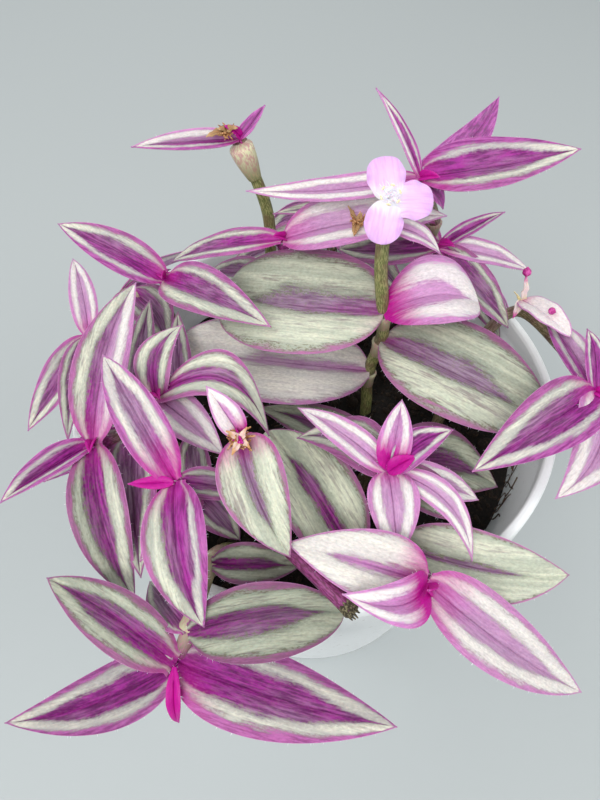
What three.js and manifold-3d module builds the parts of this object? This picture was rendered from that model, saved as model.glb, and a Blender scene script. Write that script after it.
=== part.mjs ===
// A tradescantia with striped purple and silver leaves, growing in a round white pot.
// Millimetres, +Z up, the middle of the pot's underside at the origin, the plant's front facing -Y.
import * as THREE from "three";
import { mergeVertices } from "three/addons/utils/BufferGeometryUtils.js";
import Module from "manifold-3d";

const wasm = await Module();
wasm.setup();

// Pot
const RIM_RADIUS = 60;
const POT_HEIGHT = 92;
const BASE_RADIUS = 40;
const WALL_THICKNESS = 1.8;
const LIP_THICKNESS = 2.4;
const LIP_HEIGHT = 5;
const LIP_OVERHANG = 0.8;
const FLOOR_THICKNESS = 2.4;
const FOOT_RING_WIDTH = 3;
const FOOT_RING_HEIGHT = 1.2;
const CENTRE_PAD_RADIUS = 12;
const DRAIN_HOLE_RADIUS = 2.5;
const DRAIN_HOLE_CIRCLE = 25;
const DRAIN_HOLE_COUNT = 6;
const DRAIN_HOLE_SIDES = 8;
const FLOOR_CORNER = 3;
const FLOOR_CORNER_WIDTH = 2;
const FOOT_SLOPE = 1;
const EDGE_ROUNDING = 0.6;
const LIP_ROUNDING = 0.8;
const LIP_DRAFT = 0.2;
const LIP_STEP = 1;
const POT_SIDES = 40;

// Soil
const SOIL_LEVEL = 74;
const SOIL_SIDES = 24;
const SOIL_RINGS = 4;
const LUMP_HEIGHT = 1.6;
const FIT_GAP = 0.3;

// Stems and leaves
const STEM_RADIUS = 1.7;
const STEM_SIDES = 6;
const ROOT_DEPTH = 12;
const ROOT_HOLE_RADIUS = STEM_RADIUS + 0.6;
const ROOT_HOLE_SIDES = 8;
const BLADE_THICKNESS = 0.8;
const BLADE_STEPS = 6;
const BACK_BLADE_STEPS = 4;
const STEM_RISE = 3;
const FOOT_HALF_WIDTH = 1.3;
const TIP_HALF_WIDTH = 0.35;

// Open flower
const PETAL_WIDTH = 8;
const PETAL_FOOT_HALF_WIDTH = 1.5;
const PEDICEL_RADIUS = 0.8;
const PEDICEL_DROP = 0.95;
const STAMEN_HUB_RADIUS = 0.9;
const FILAMENT_RADIUS = 0.4;
const FILAMENT_LENGTH = 3.2;
const FILAMENT_SIDES = 4;
const FILAMENT_COUNT = 6;
const FIRST_FILAMENT = 0.3;
const FILAMENT_SPREAD = 0.62;
const FILAMENT_LIFT = 0.75;
const ANTHER_RADIUS = 0.6;
const BALL_SIDES = 6;
const BALL_RINGS = 4;

// Dried flower heads
const KNOT_RADIUS = 1.3;
const SEPAL_STEPS = 3;
const SEPAL_FOOT_HALF_WIDTH = 0.7;

// The place the plant is looked at from: leaf places are given along its sight lines
const EYE = new THREE.Vector3(-3.7, -108.1, 219);
const EYE_TILT = THREE.MathUtils.degToRad(51.3);
const EYE_FOCAL_PIXELS = 660;
const EYE_CENTRE_U = 300;
const EYE_CENTRE_V = 400;

const COLOURS = {
  pot: 0xe9eef0,
  soil: 0x1d1813,
  leaf: 0x9a4f93,
  petal: 0xeba6ee,
  stamen: 0xf3efe2,
  spent: 0xc79a72,
};

// The point at a given height that is seen at column u, row v
function seen(u, v, height) {
  const across = (u - EYE_CENTRE_U) / EYE_FOCAL_PIXELS;
  const rise = (EYE_CENTRE_V - v) / EYE_FOCAL_PIXELS;
  const ray = new THREE.Vector3(
    across,
    Math.cos(EYE_TILT) + rise * Math.sin(EYE_TILT),
    rise * Math.cos(EYE_TILT) - Math.sin(EYE_TILT),
  );
  return EYE.clone().addScaledVector(ray, (height - EYE.z) / ray.z);
}

function at(x, y, z) {
  return new THREE.Vector3(x, y, z);
}

const FACE_UP = at(0, -0.3, 1);
const FACE_BACK = at(0, 0.8, 0.6);
const FACE_EYE = at(0, -0.62, 0.78).normalize();
const FLOWER_TOP = at(0, 0.78, 0.62);

const BLOOM_CENTRE = seen(388, 201, 139);
const PETAL_TIPS = [seen(383, 157, 145), seen(433, 203, 139), seen(379, 244, 134)];
const BLOOM_BACK = BLOOM_CENTRE.clone().addScaledVector(FACE_EYE, -PEDICEL_DROP);


function solidFrom(geometry) {
  const bare = geometry.clone();
  bare.deleteAttribute("normal");
  bare.deleteAttribute("uv");
  const merged = mergeVertices(bare, 1e-4);
  return new wasm.Manifold(new wasm.Mesh({
    numProp: 3,
    vertProperties: new Float32Array(merged.attributes.position.array),
    triVerts: new Uint32Array(merged.index.array),
  }));
}

function geometryFrom(solid) {
  const mesh = solid.getMesh();
  const geometry = new THREE.BufferGeometry();
  geometry.setAttribute("position", new THREE.BufferAttribute(new Float32Array(mesh.vertProperties), 3));
  geometry.setIndex(new THREE.BufferAttribute(new Uint32Array(mesh.triVerts), 1));
  geometry.computeVertexNormals();
  return geometry;
}

function named(name, solid, colour, roughness = 0.6) {
  const material = new THREE.MeshStandardMaterial({ color: colour, roughness });
  const mesh = new THREE.Mesh(geometryFrom(solid), material);
  mesh.name = name;
  return mesh;
}

// Half the width of a blade at the part s of its length, against its fullest half width
function fullness(s, round, point) {
  const widest = round / (round + point);
  const fullest = widest ** round * (1 - widest) ** point;
  return s ** round * Math.max(1 - s, 0) ** point / fullest;
}

// Closes a sheet's upper and lower copies round their shared edge, split alike
function closedSlab(sheet, upper, lower) {
  const index = Array.from(sheet.index.array);
  const offset = upper.length / 3;
  const edges = new Map();
  const faces = [];
  for (let i = 0; i < index.length; i += 3) {
    const [a, b, c] = index.slice(i, i + 3);
    faces.push(a, b, c, offset + a, offset + c, offset + b);
    for (const [from, to] of [[a, b], [b, c], [c, a]]) {
      if (edges.has(`${to},${from}`)) {
        edges.delete(`${to},${from}`);
      } else {
        edges.set(`${from},${to}`, [from, to]);
      }
    }
  }
  for (const [from, to] of edges.values()) {
    faces.push(to, from, offset + from, to, offset + from, offset + to);
  }
  const slab = new THREE.BufferGeometry();
  slab.setAttribute("position", new THREE.Float32BufferAttribute([...upper, ...lower], 3));
  slab.setIndex(faces);
  return slab;
}

// A leaf or petal: a thin blade from foot to tip, bowed up by arch, aside by sway, its halves cupped
function bladeSolid({
  foot, tip, width, arch = 3, sway = 0, cup = 22, roll = 0,
  round = 0.5, point = 0.95, facing = FACE_UP, footHalf = FOOT_HALF_WIDTH, steps = BLADE_STEPS,
}) {
  const span = tip.clone().sub(foot);
  const along = span.clone().normalize();
  const up = facing.clone().addScaledVector(along, -facing.dot(along)).normalize();
  up.applyAxisAngle(along, THREE.MathUtils.degToRad(roll));
  const side = along.clone().cross(up);
  const cupAngle = THREE.MathUtils.degToRad(cup);
  const depth = BLADE_THICKNESS / 2 / Math.cos(cupAngle);
  const sheet = new THREE.PlaneGeometry(2, 1, 2, steps);
  const flat = sheet.attributes.position;
  const upper = [];
  const lower = [];
  for (let i = 0; i < flat.count; i += 1) {
    const across = flat.getX(i);
    const s = 0.5 - 0.5 * Math.cos(Math.PI * (flat.getY(i) + 0.5));
    const least = THREE.MathUtils.lerp(footHalf, TIP_HALF_WIDTH, Math.min(1, s * 3));
    const half = Math.max(width / 2 * fullness(s, round, point), least);
    const bow = 4 * s * (1 - s);
    const place = foot.clone()
      .addScaledVector(span, s)
      .addScaledVector(up, arch * bow + half * Math.abs(across) * Math.sin(cupAngle))
      .addScaledVector(side, sway * bow + half * across * Math.cos(cupAngle));
    const lean = span.clone()
      .addScaledVector(up, arch * 4 * (1 - 2 * s))
      .addScaledVector(side, sway * 4 * (1 - 2 * s));
    const normal = side.clone().cross(lean).normalize();
    upper.push(...place.clone().addScaledVector(normal, depth).toArray());
    lower.push(...place.clone().addScaledVector(normal, -depth).toArray());
  }
  return solidFrom(closedSlab(sheet, upper, lower));
}

// A round stem along a smooth line through its points
function stemSolid(points, radius = STEM_RADIUS, sides = STEM_SIDES) {
  const outline = new THREE.Shape();
  for (let k = 0; k < sides; k += 1) {
    const angle = 2 * Math.PI * k / sides;
    const corner = [radius * Math.cos(angle), radius * Math.sin(angle)];
    if (k === 0) {
      outline.moveTo(...corner);
    } else {
      outline.lineTo(...corner);
    }
  }
  const path = new THREE.CatmullRomCurve3(points, false, "centripetal");
  const steps = points.length > 2 ? 2 * (points.length - 1) : 1;
  return solidFrom(new THREE.ExtrudeGeometry(outline, { steps, bevelEnabled: false, extrudePath: path }));
}

// The swollen sheath round the top of a stem, narrowing down to it
function sheathSolid(top, bottom, radius) {
  const along = top.clone().sub(bottom);
  const cone = new THREE.CylinderGeometry(radius, STEM_RADIUS, along.length(), STEM_SIDES + 2);
  cone.applyQuaternion(new THREE.Quaternion().setFromUnitVectors(at(0, 1, 0), along.clone().normalize()));
  const middle = top.clone().lerp(bottom, 0.5);
  cone.translate(middle.x, middle.y, middle.z);
  return solidFrom(cone);
}

function leaf(node, tip, width, bend = {}) {
  return { node, tip, width, ...bend };
}

// A leaf that lies deep among the others, split less finely
function innerLeaf(node, tip, width, bend = {}) {
  return leaf(node, tip, width, { steps: BACK_BLADE_STEPS, ...bend });
}

// Each shoot: where it stands in the soil, the line of its stem, and the leaves at the stem's points
const SHOOTS = {
  stem_back_left_bloom: {
    root: [-14, 24],
    line: [at(-12, 31, 98), seen(268, 214, 116), seen(244, 152, 133), seen(240, 142, 135)],
    sheath: [seen(241, 147, 134.2), seen(255, 178, 126.5), 3],
    leaves: [
      leaf(3, seen(131, 147, 134), 6.5, { arch: 0.5, cup: 40, roll: -25 }),
      leaf(3, seen(265, 105, 143), 4, { arch: -0.5, cup: 30 }),
      innerLeaf(0, seen(204, 278, 88), 11, { arch: 2 }),
    ],
  },
  stem_back_left_pair: {
    root: [-36, 22],
    line: [seen(165, 303, 91), seen(168, 281, 103)],
    leaves: [
      leaf(1, seen(58, 224, 111), 11.5, { arch: 2.5, roll: -10 }),
      leaf(1, seen(271, 327, 114), 14, { arch: 2, roll: 10 }),
    ],
  },
  stem_far_left: {
    root: [-40, 4],
    line: [at(-50, 6, 96), seen(92, 338, 98)],
    leaves: [
      leaf(1, seen(73, 259, 104), 7.5, { arch: 2, sway: 1 }),
      leaf(1, seen(28, 431, 88), 10.5, { arch: 3, sway: -1.5 }),
      innerLeaf(1, seen(68, 442, 93), 8, { arch: 4 }),
    ],
  },
  stem_left: {
    root: [-34, -12],
    line: [at(-42, -18, 94), seen(96, 444, 100)],
    leaves: [
      leaf(1, seen(136, 283, 110), 13.5, { arch: 4, sway: -1 }),
      leaf(1, seen(0, 503, 96), 10, { arch: 1, cup: 50 }),
      leaf(1, seen(135, 600, 80), 13, { arch: 8, sway: 0.5 }),
      innerLeaf(0, seen(44, 482, 90), 8, { arch: 3 }),
      innerLeaf(0, seen(141, 578, 90), 13, { arch: 4 }),
      innerLeaf(0, seen(150, 300, 99), 9, { arch: 2 }),
    ],
  },
  stem_left_front: {
    root: [-24, -26],
    line: [at(-26, -34, 94), seen(177, 481, 112)],
    leaves: [
      leaf(1, seen(103, 355, 118), 10, { arch: 3 }),
      leaf(1, seen(204, 627, 98), 12.5, { arch: 5, sway: 1.5 }),
      leaf(1, seen(128, 484, 113), 2.4, { arch: 0, cup: 0 }),
      innerLeaf(1, seen(240, 494, 103), 7, { arch: 2 }),
      innerLeaf(0, seen(193, 427, 102), 8.5, { arch: 2 }),
      innerLeaf(0, seen(240, 540, 90), 9, { arch: 3 }),
      innerLeaf(0, seen(140, 562, 97), 9, { arch: 2 }),
    ],
  },
  stem_middle_left: {
    root: [-30, -4],
    line: [at(-32, -12, 92), seen(159, 398, 107)],
    leaves: [
      leaf(1, seen(269, 436, 104), 12, { arch: 6, sway: -7 }),
      leaf(1, seen(224, 455, 103), 10, { arch: 2 }),
      leaf(1, seen(183, 325, 116), 9, { arch: 2, sway: -2.6 }),
      innerLeaf(0, seen(178, 312, 102), 8, { arch: 2 }),
    ],
  },
  stem_middle_bloom: {
    root: [-16, -20],
    line: [at(-17, -30, 98), seen(241, 436, 118)],
    leaves: [
      leaf(1, seen(290, 557, 105), 13.5, { arch: 3, sway: 1.5, round: 0.4 }),
      leaf(1, seen(206, 386, 126), 6.5, { arch: 1, cup: 35 }),
    ],
  },
  stem_back_middle: {
    root: [-6, 12],
    line: [at(-8, 24, 97), at(-8, 29.5, 107), seen(284, 242, 117)],
    leaves: [
      leaf(2, seen(447, 216, 126), 16, { arch: 2.5, round: 0.5 }),
      leaf(2, seen(172, 262, 99), 9.2, { arch: 3, sway: -1.3 }),
    ],
  },
  stem_centre_bloom: {
    root: [14.5, 4.7],
    line: [
      seen(368, 372, 88), seen(381, 342, 100), seen(383, 315, 110),
      seen(381, 270, 122), seen(384, 228, 131),
    ],
    pedicel: BLOOM_BACK,
    leaves: [
      leaf(2, seen(225, 297, 103), 30, { arch: 4, sway: -3, cup: 14, round: 0.35, point: 0.42 }),
      leaf(0, seen(172, 350, 95), 25, { arch: 4, sway: -2.2, cup: 14, point: 0.55 }),
      leaf(1, seen(548, 425, 95), 26, { arch: 5, sway: 1.5, cup: 14, point: 0.65 }),
      leaf(2, seen(478, 304, 112), 19, { arch: 6, point: 0.5 }),
      leaf(4, seen(440, 254, 125), 6, { arch: 2 }),
    ],
  },
  stem_back_right: {
    root: [24, 22],
    line: [at(28, 28, 104), seen(433, 222, 118), seen(418, 181, 135)],
    leaves: [
      leaf(2, seen(376, 88, 150), 4, { arch: 1.5, cup: 35 }),
      leaf(2, seen(581, 149, 138), 14.5, { arch: -1, roll: 5 }),
      leaf(2, seen(499, 97, 132), 9.5, { arch: -2, sway: 2, cup: 12 }),
      leaf(2, seen(246, 191, 127), 7, { arch: 0, sway: -1.5, roll: -15 }),
      leaf(2, seen(443, 209, 129), 6, { arch: 1 }),
      innerLeaf(1, seen(273, 214, 118), 9, { arch: 3 }),
    ],
  },
  stem_right_back_small: {
    root: [28, 11],
    line: [at(30, 16, 98), seen(437, 250, 116)],
    leaves: [
      leaf(1, seen(505, 212, 120), 5, { arch: 1, cup: 35 }),
      leaf(1, seen(530, 272, 107), 8, { arch: 2 }),
      innerLeaf(1, seen(338, 249, 108), 12, { arch: 1, sway: -2 }),
      innerLeaf(1, seen(508, 328, 99), 11, { arch: 3, sway: 1.5 }),
    ],
  },
  stem_right: {
    root: [34, 0],
    line: [seen(488, 331, 94), seen(518, 311, 97), seen(562, 348, 98), seen(592, 392, 103)],
    leaves: [
      leaf(3, seen(472, 472, 102), 15.5, { arch: 3, sway: -0.6 }),
      leaf(3, seen(555, 499, 94), 14, { arch: 3, sway: -4 }),
      leaf(3, seen(545, 316, 101), 9.5, { arch: 1 }),
      leaf(3, seen(587, 329, 109), 6, { arch: 2 }),
    ],
  },
  stem_middle: {
    root: [12, -20],
    line: [at(14, -25, 90), seen(387, 471, 105)],
    leaves: [
      leaf(1, seen(402, 400, 113), 7.5, { arch: 2 }),
      leaf(1, seen(417, 456, 110), 3.6, { arch: 1, cup: 10 }),
      leaf(1, seen(298, 408, 109), 7, { arch: 3 }),
      leaf(1, seen(453, 430, 110), 7.5, { arch: 2, sway: -1 }),
      leaf(1, seen(397, 560, 100.5), 11, { arch: 2 }),
      leaf(1, seen(472, 561, 97), 6.5, { arch: 3, sway: -3.5 }),
      leaf(1, seen(478, 500, 95), 8, { arch: 2 }),
      leaf(1, seen(464, 520, 96), 9.5, { arch: 1.5 }),
      innerLeaf(1, seen(297, 438, 101), 12, { arch: -1, sway: 4 }),
      innerLeaf(0, seen(497, 487, 86), 19, { arch: 3, sway: -2.5 }),
      innerLeaf(0, seen(258, 408, 80), 13, { arch: -0.5, sway: 3 }),
    ],
  },
  stem_front_silver: {
    root: [5, -41],
    line: [seen(354, 562, 90)],
    leaves: [
      leaf(0, seen(266, 432, 97), 19, { arch: 2, sway: 1.2, point: 0.65 }),
    ],
  },
  stem_trimmed: {
    root: [-12, -36],
    line: [seen(284, 545, 100), seen(352, 611, 102.3)],
    leaves: [],
  },
  stem_right_front: {
    root: [15, -36],
    line: [at(17, -45, 92), seen(424, 580, 101)],
    leaves: [
      leaf(1, seen(287, 543, 105.4), 14, { arch: 1.3, cup: 12, round: 0.4 }),
      leaf(1, seen(342, 594, 108), 10, { arch: 2.5, sway: -3.5, cup: 30 }),
      leaf(1, seen(581, 692, 74), 14.5, { arch: 2, sway: 1.8, round: 0.4 }),
      leaf(0, seen(569, 575, 88), 16, { arch: 4, sway: 2.8 }),
    ],
  },
  stem_front_left: {
    root: [-18, -40],
    line: [at(-21, -52, 98), seen(190, 628, 93), seen(178, 660, 88)],
    leaves: [
      leaf(2, seen(47, 578, 90), 12.5, { arch: 3, sway: 1 }),
      leaf(2, seen(5, 723, 76), 13, { arch: -1.5, sway: -2, round: 0.4 }),
      leaf(2, seen(397, 727, 76), 19, { arch: 1, sway: 1, round: 0.4 }),
      leaf(2, seen(178, 722, 82), 3, { arch: 1, cup: 10 }),
      leaf(1, seen(344, 612, 94.8), 17, { arch: 2.9, sway: -3, point: 0.6, facing: at(0, -0.8, 0.7) }),
      innerLeaf(0, seen(300, 566, 90), 9, { arch: 0.6 }),
      innerLeaf(1, seen(150, 582, 84), 8, { arch: 1 }),
    ],
  },
  stem_trailing_back: {
    root: [4, 34],
    line: [at(6, 50, 98), at(8, 67, 92), at(9, 76, 74), at(10, 80, 54)],
    facing: FACE_BACK,
    steps: BACK_BLADE_STEPS,
    leaves: [
      leaf(0, at(-26, 44, 90), 12, { facing: FACE_UP }),
      leaf(0, at(27, 33, 89), 12, { facing: FACE_UP }),
      leaf(1, at(-16, 88, 70), 14),
      leaf(2, at(38, 88, 62), 14),
      leaf(3, at(-20, 96, 36), 13),
      leaf(3, at(34, 98, 34), 12),
      leaf(3, at(8, 92, 22), 9),
      leaf(1, at(34, 84, 68), 13),
      leaf(2, at(-24, 94, 52), 13),
    ],
  },
  stem_trailing_back_right: {
    root: [28, 32],
    line: [at(34, 40, 98), at(41, 51, 88), at(45, 56, 68)],
    facing: at(0.6, 0.5, 0.6),
    steps: BACK_BLADE_STEPS,
    leaves: [
      leaf(0, at(24, 62, 97), 10, { facing: FACE_UP }),
      leaf(1, at(64, 38, 66), 13),
      leaf(2, at(70, 40, 46), 14),
      leaf(2, at(36, 80, 44), 13),
      leaf(2, at(58, 62, 34), 10),
      leaf(1, at(26, 74, 76), 12),
      leaf(0, at(52, 20, 86), 11, { facing: FACE_UP }),
    ],
  },
  stem_trailing_back_left: {
    root: [-42, 15],
    line: [at(-49, 26, 96.4), at(-56, 35, 86), at(-58, 39, 66)],
    facing: at(-0.5, 0.6, 0.6),
    steps: BACK_BLADE_STEPS,
    leaves: [
      leaf(0, seen(168, 346, 91), 13, { arch: 1, sway: -2, facing: FACE_UP }),
      leaf(1, at(-36, 64, 66), 13),
      leaf(2, at(-78, 26, 50), 14),
      leaf(2, at(-44, 68, 42), 13),
      leaf(2, at(-66, 50, 34), 10),
      leaf(1, at(-30, 60, 84), 11),
    ],
  },
};

const SPENT_BLOOMS = {
  spent_bloom_middle: {
    centre: seen(241, 441, 120.9),
    sepals: [
      [seen(217, 423, 124), 2.6], [seen(226, 437, 123), 2.4], [seen(236, 457, 122), 2.6],
      [seen(252, 447, 123), 2.4], [seen(247, 420, 125), 2],
    ],
  },
  spent_bloom_back_left: {
    centre: seen(226, 133, 138.5),
    sepals: [[seen(204, 136, 138.4), 2.6], [seen(216, 128, 140), 2.2], [seen(238, 127, 140), 2.4]],
  },
  spent_bloom_centre: {
    centre: seen(357, 221, 126.8),
    sepals: [[seen(354, 236, 125.4), 2.4], [seen(364, 207, 128.4), 2], [seen(350, 208, 127.6), 2]],
  },
  spent_bloom_right: {
    centre: seen(521, 301, 101.1),
    sepals: [
      [seen(527, 268, 112), 2.6], [seen(542, 293, 107), 1.8],
      [seen(570, 337, 105.6), 6.5], [seen(513, 318, 102.2), 2.4],
    ],
  },
};

function stemPoints(shoot) {
  const [x, y] = shoot.root;
  return [
    at(x, y, SOIL_LEVEL - ROOT_DEPTH),
    at(x, y, SOIL_LEVEL - ROOT_DEPTH / 3),
    at(x, y, SOIL_LEVEL + STEM_RISE),
    ...shoot.line,
  ];
}

function leafyStem(shoot) {
  let plant = stemSolid(stemPoints(shoot));
  if (shoot.sheath) {
    plant = plant.add(sheathSolid(...shoot.sheath));
  }
  if (shoot.pedicel) {
    plant = plant.add(stemSolid([shoot.line.at(-1), shoot.pedicel], PEDICEL_RADIUS));
  }
  for (const { node, ...blade } of shoot.leaves) {
    plant = plant.add(bladeSolid({
      foot: shoot.line[node], facing: shoot.facing ?? FACE_UP, steps: shoot.steps ?? BLADE_STEPS, ...blade,
    }));
  }
  return plant;
}

// Three rounded petals grown together at the flower's middle
function petalsSolid() {
  const petals = PETAL_TIPS.map((tip) => bladeSolid({
    foot: BLOOM_CENTRE, tip, width: PETAL_WIDTH, arch: 0.7, cup: 8,
    round: 0.5, point: 0.4, facing: FACE_EYE, footHalf: PETAL_FOOT_HALF_WIDTH,
  }));
  return petals.reduce((joined, petal) => joined.add(petal));
}

function ball(centre, radius) {
  const sphere = new THREE.SphereGeometry(radius, BALL_SIDES, BALL_RINGS);
  sphere.translate(centre.x, centre.y, centre.z);
  return solidFrom(sphere);
}

// A ring of pale filaments with anthers, spreading from the flower's middle
function stamensSolid() {
  const middle = BLOOM_CENTRE.clone().addScaledVector(FACE_EYE, STAMEN_HUB_RADIUS + BLADE_THICKNESS);
  let stamens = ball(middle, STAMEN_HUB_RADIUS);
  for (let k = 0; k < FILAMENT_COUNT; k += 1) {
    const angle = 2 * Math.PI * (k + FIRST_FILAMENT) / FILAMENT_COUNT;
    const spread = at(Math.cos(angle), 0, 0).addScaledVector(FLOWER_TOP, Math.sin(angle));
    const end = middle.clone()
      .addScaledVector(spread, FILAMENT_SPREAD * FILAMENT_LENGTH)
      .addScaledVector(FACE_EYE, FILAMENT_LIFT * FILAMENT_LENGTH);
    stamens = stamens.add(stemSolid([middle, end], FILAMENT_RADIUS, FILAMENT_SIDES));
    stamens = stamens.add(ball(end, ANTHER_RADIUS));
  }
  return stamens;
}

// A dried flower head: a knot with withered sepals lying out from it
function driedHead({ centre, sepals }) {
  let head = ball(centre, KNOT_RADIUS);
  for (const [tip, width] of sepals) {
    head = head.add(bladeSolid({
      foot: centre, tip, width, arch: 0.4, cup: 25, footHalf: SEPAL_FOOT_HALF_WIDTH, steps: SEPAL_STEPS,
    }));
  }
  return head;
}

function wallRadius(height) {
  const slope = (RIM_RADIUS - LIP_OVERHANG - BASE_RADIUS) / POT_HEIGHT;
  return BASE_RADIUS + slope * height;
}

function turnedSolid(profile, sides) {
  const points = profile.map(([radius, height]) => new THREE.Vector2(radius, height));
  const turned = new THREE.LatheGeometry([...points, points[0].clone()], sides);
  turned.rotateX(Math.PI / 2);
  return turned;
}

function upright(radius, height, sides, [x, y], bottom) {
  const rod = new THREE.CylinderGeometry(radius, radius, height, sides);
  rod.rotateX(Math.PI / 2);
  rod.translate(x, y, bottom + height / 2);
  return solidFrom(rod);
}

function potSolid() {
  const lipBottom = POT_HEIGHT - LIP_HEIGHT;
  const floorTop = FLOOR_THICKNESS + FOOT_RING_HEIGHT;
  let pot = solidFrom(turnedSolid([
    [0, 0],
    [CENTRE_PAD_RADIUS, 0],
    [CENTRE_PAD_RADIUS + FOOT_SLOPE, FOOT_RING_HEIGHT],
    [BASE_RADIUS - FOOT_RING_WIDTH - FOOT_SLOPE, FOOT_RING_HEIGHT],
    [BASE_RADIUS - FOOT_RING_WIDTH, 0],
    [BASE_RADIUS - EDGE_ROUNDING, 0],
    [BASE_RADIUS, EDGE_ROUNDING],
    [wallRadius(lipBottom), lipBottom],
    [RIM_RADIUS - LIP_DRAFT, lipBottom + LIP_STEP],
    [RIM_RADIUS, POT_HEIGHT - LIP_ROUNDING],
    [RIM_RADIUS - LIP_THICKNESS / 2, POT_HEIGHT],
    [RIM_RADIUS - LIP_THICKNESS, POT_HEIGHT - LIP_ROUNDING],
    [wallRadius(floorTop + FLOOR_CORNER) - WALL_THICKNESS, floorTop + FLOOR_CORNER],
    [wallRadius(floorTop) - WALL_THICKNESS - FLOOR_CORNER_WIDTH, floorTop],
    [0, floorTop],
  ], POT_SIDES));
  for (let k = 0; k < DRAIN_HOLE_COUNT; k += 1) {
    const angle = 2 * Math.PI * (k + 0.5) / DRAIN_HOLE_COUNT;
    const centre = [DRAIN_HOLE_CIRCLE * Math.cos(angle), DRAIN_HOLE_CIRCLE * Math.sin(angle)];
    pot = pot.subtract(upright(DRAIN_HOLE_RADIUS, 3 * floorTop, DRAIN_HOLE_SIDES, centre, -floorTop));
  }
  return pot;
}

// How far a place on the soil stands above or below its level
function lump(x, y) {
  const broad = Math.sin(0.31 * x + 1.3) * Math.cos(0.27 * y - 0.4);
  const fine = Math.sin(0.62 * x - 0.53 * y);
  return LUMP_HEIGHT * (0.6 * broad + 0.4 * fine - 0.5);
}

function soilSolid(shoots) {
  const bottom = FLOOR_THICKNESS + FOOT_RING_HEIGHT + FIT_GAP;
  const topRadius = wallRadius(SOIL_LEVEL - LUMP_HEIGHT) - WALL_THICKNESS - 3 * FIT_GAP;
  const profile = [[0, bottom], [wallRadius(bottom) - WALL_THICKNESS - 3, bottom]];
  for (let k = 0; k <= SOIL_RINGS; k += 1) {
    profile.push([topRadius * (1 - k / SOIL_RINGS), SOIL_LEVEL]);
  }
  const turned = turnedSolid(profile, SOIL_SIDES);
  const place = turned.attributes.position;
  for (let i = 0; i < place.count; i += 1) {
    if (place.getZ(i) > bottom + 1) {
      place.setZ(i, SOIL_LEVEL + lump(place.getX(i), place.getY(i)));
    }
  }
  let soil = solidFrom(turned);
  const holeBottom = SOIL_LEVEL - ROOT_DEPTH - FIT_GAP;
  for (const { root } of shoots) {
    soil = soil.subtract(upright(ROOT_HOLE_RADIUS, 2 * ROOT_DEPTH, ROOT_HOLE_SIDES, root, holeBottom));
  }
  return soil;
}

const plant = new THREE.Group();
plant.name = "potted_tradescantia";
plant.add(named("pot", potSolid(), COLOURS.pot, 0.4));
plant.add(named("soil", soilSolid(Object.values(SHOOTS)), COLOURS.soil, 0.95));
for (const [name, shoot] of Object.entries(SHOOTS)) {
  plant.add(named(name, leafyStem(shoot), COLOURS.leaf));
}
plant.add(named("bloom_petals", petalsSolid(), COLOURS.petal));
plant.add(named("bloom_stamens", stamensSolid(), COLOURS.stamen));
for (const [name, head] of Object.entries(SPENT_BLOOMS)) {
  plant.add(named(name, driedHead(head), COLOURS.spent, 0.8));
}

export default plant;
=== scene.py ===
"""A potted tradescantia: striped purple and silver leaves, an open flower, dark soil and a white pot.

Metres, +Z up, the middle of the pot's underside at the origin, the plant's front facing -Y.
Sizes and places of the plant are given in millimetres and turned to metres where a mesh is written.
"""

import logging
import math
import random
from dataclasses import astuple, dataclass, field
from enum import Enum

import bmesh
import bpy
from bpy.types import Material, Mesh, Node, NodeSocket, NodeTree, Object
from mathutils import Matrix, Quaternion, Vector, noise

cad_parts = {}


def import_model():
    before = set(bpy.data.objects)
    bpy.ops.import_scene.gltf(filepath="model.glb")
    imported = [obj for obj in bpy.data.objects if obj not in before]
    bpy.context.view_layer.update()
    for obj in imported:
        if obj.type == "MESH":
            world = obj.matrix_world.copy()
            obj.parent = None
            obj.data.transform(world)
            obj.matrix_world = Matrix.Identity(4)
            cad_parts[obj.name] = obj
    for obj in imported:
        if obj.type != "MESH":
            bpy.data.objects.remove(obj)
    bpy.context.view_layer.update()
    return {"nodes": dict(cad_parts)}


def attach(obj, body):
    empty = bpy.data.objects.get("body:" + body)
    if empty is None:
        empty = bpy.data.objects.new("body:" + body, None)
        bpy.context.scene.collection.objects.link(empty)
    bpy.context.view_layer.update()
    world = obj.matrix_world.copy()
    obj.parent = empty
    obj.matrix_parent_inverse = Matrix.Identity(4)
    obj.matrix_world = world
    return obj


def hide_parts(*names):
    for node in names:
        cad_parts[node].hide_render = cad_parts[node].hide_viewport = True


LOG = logging.getLogger("potted_tradescantia")
MM = 0.001
# How high the soil fills the pot, in millimetres
SOIL_LEVEL = 74.0
# Kinds of nodes, and their usual settings
MATH, MIX, RANGE = "ShaderNodeMath", "ShaderNodeMix", "ShaderNodeMapRange"
VECTOR_MATH, SPLIT, JOIN = "ShaderNodeVectorMath", "ShaderNodeSeparateXYZ", "ShaderNodeCombineXYZ"
NOISE, ATTRIBUTE, COORDINATES = "ShaderNodeTexNoise", "ShaderNodeAttribute", "ShaderNodeTexCoord"
SURFACE, RANDOM = "ShaderNodeBsdfPrincipled", "FunctionNodeRandomValue"
POSITION, REALIZE = "GeometryNodeInputPosition", "GeometryNodeRealizeInstances"
STORE = "GeometryNodeStoreNamedAttribute"
PLUS, MINUS = {"operation": "ADD"}, {"operation": "SUBTRACT"}
TIMES, TIMES_PLUS = {"operation": "MULTIPLY"}, {"operation": "MULTIPLY_ADD"}
OVER, SCALED = {"operation": "DIVIDE"}, {"operation": "SCALE"}
SIZE_OF, PLUS_CLAMPED = {"operation": "ABSOLUTE"}, {"operation": "ADD", "use_clamp": True}
NUMBERS, VECTORS = {"data_type": "FLOAT"}, {"data_type": "FLOAT_VECTOR"}
SMOOTH = {"interpolation_type": "SMOOTHSTEP"}
RGBA = {"data_type": "RGBA"}
Value = Node | NodeSocket | float
Mark = tuple[float, float, float]
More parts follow.
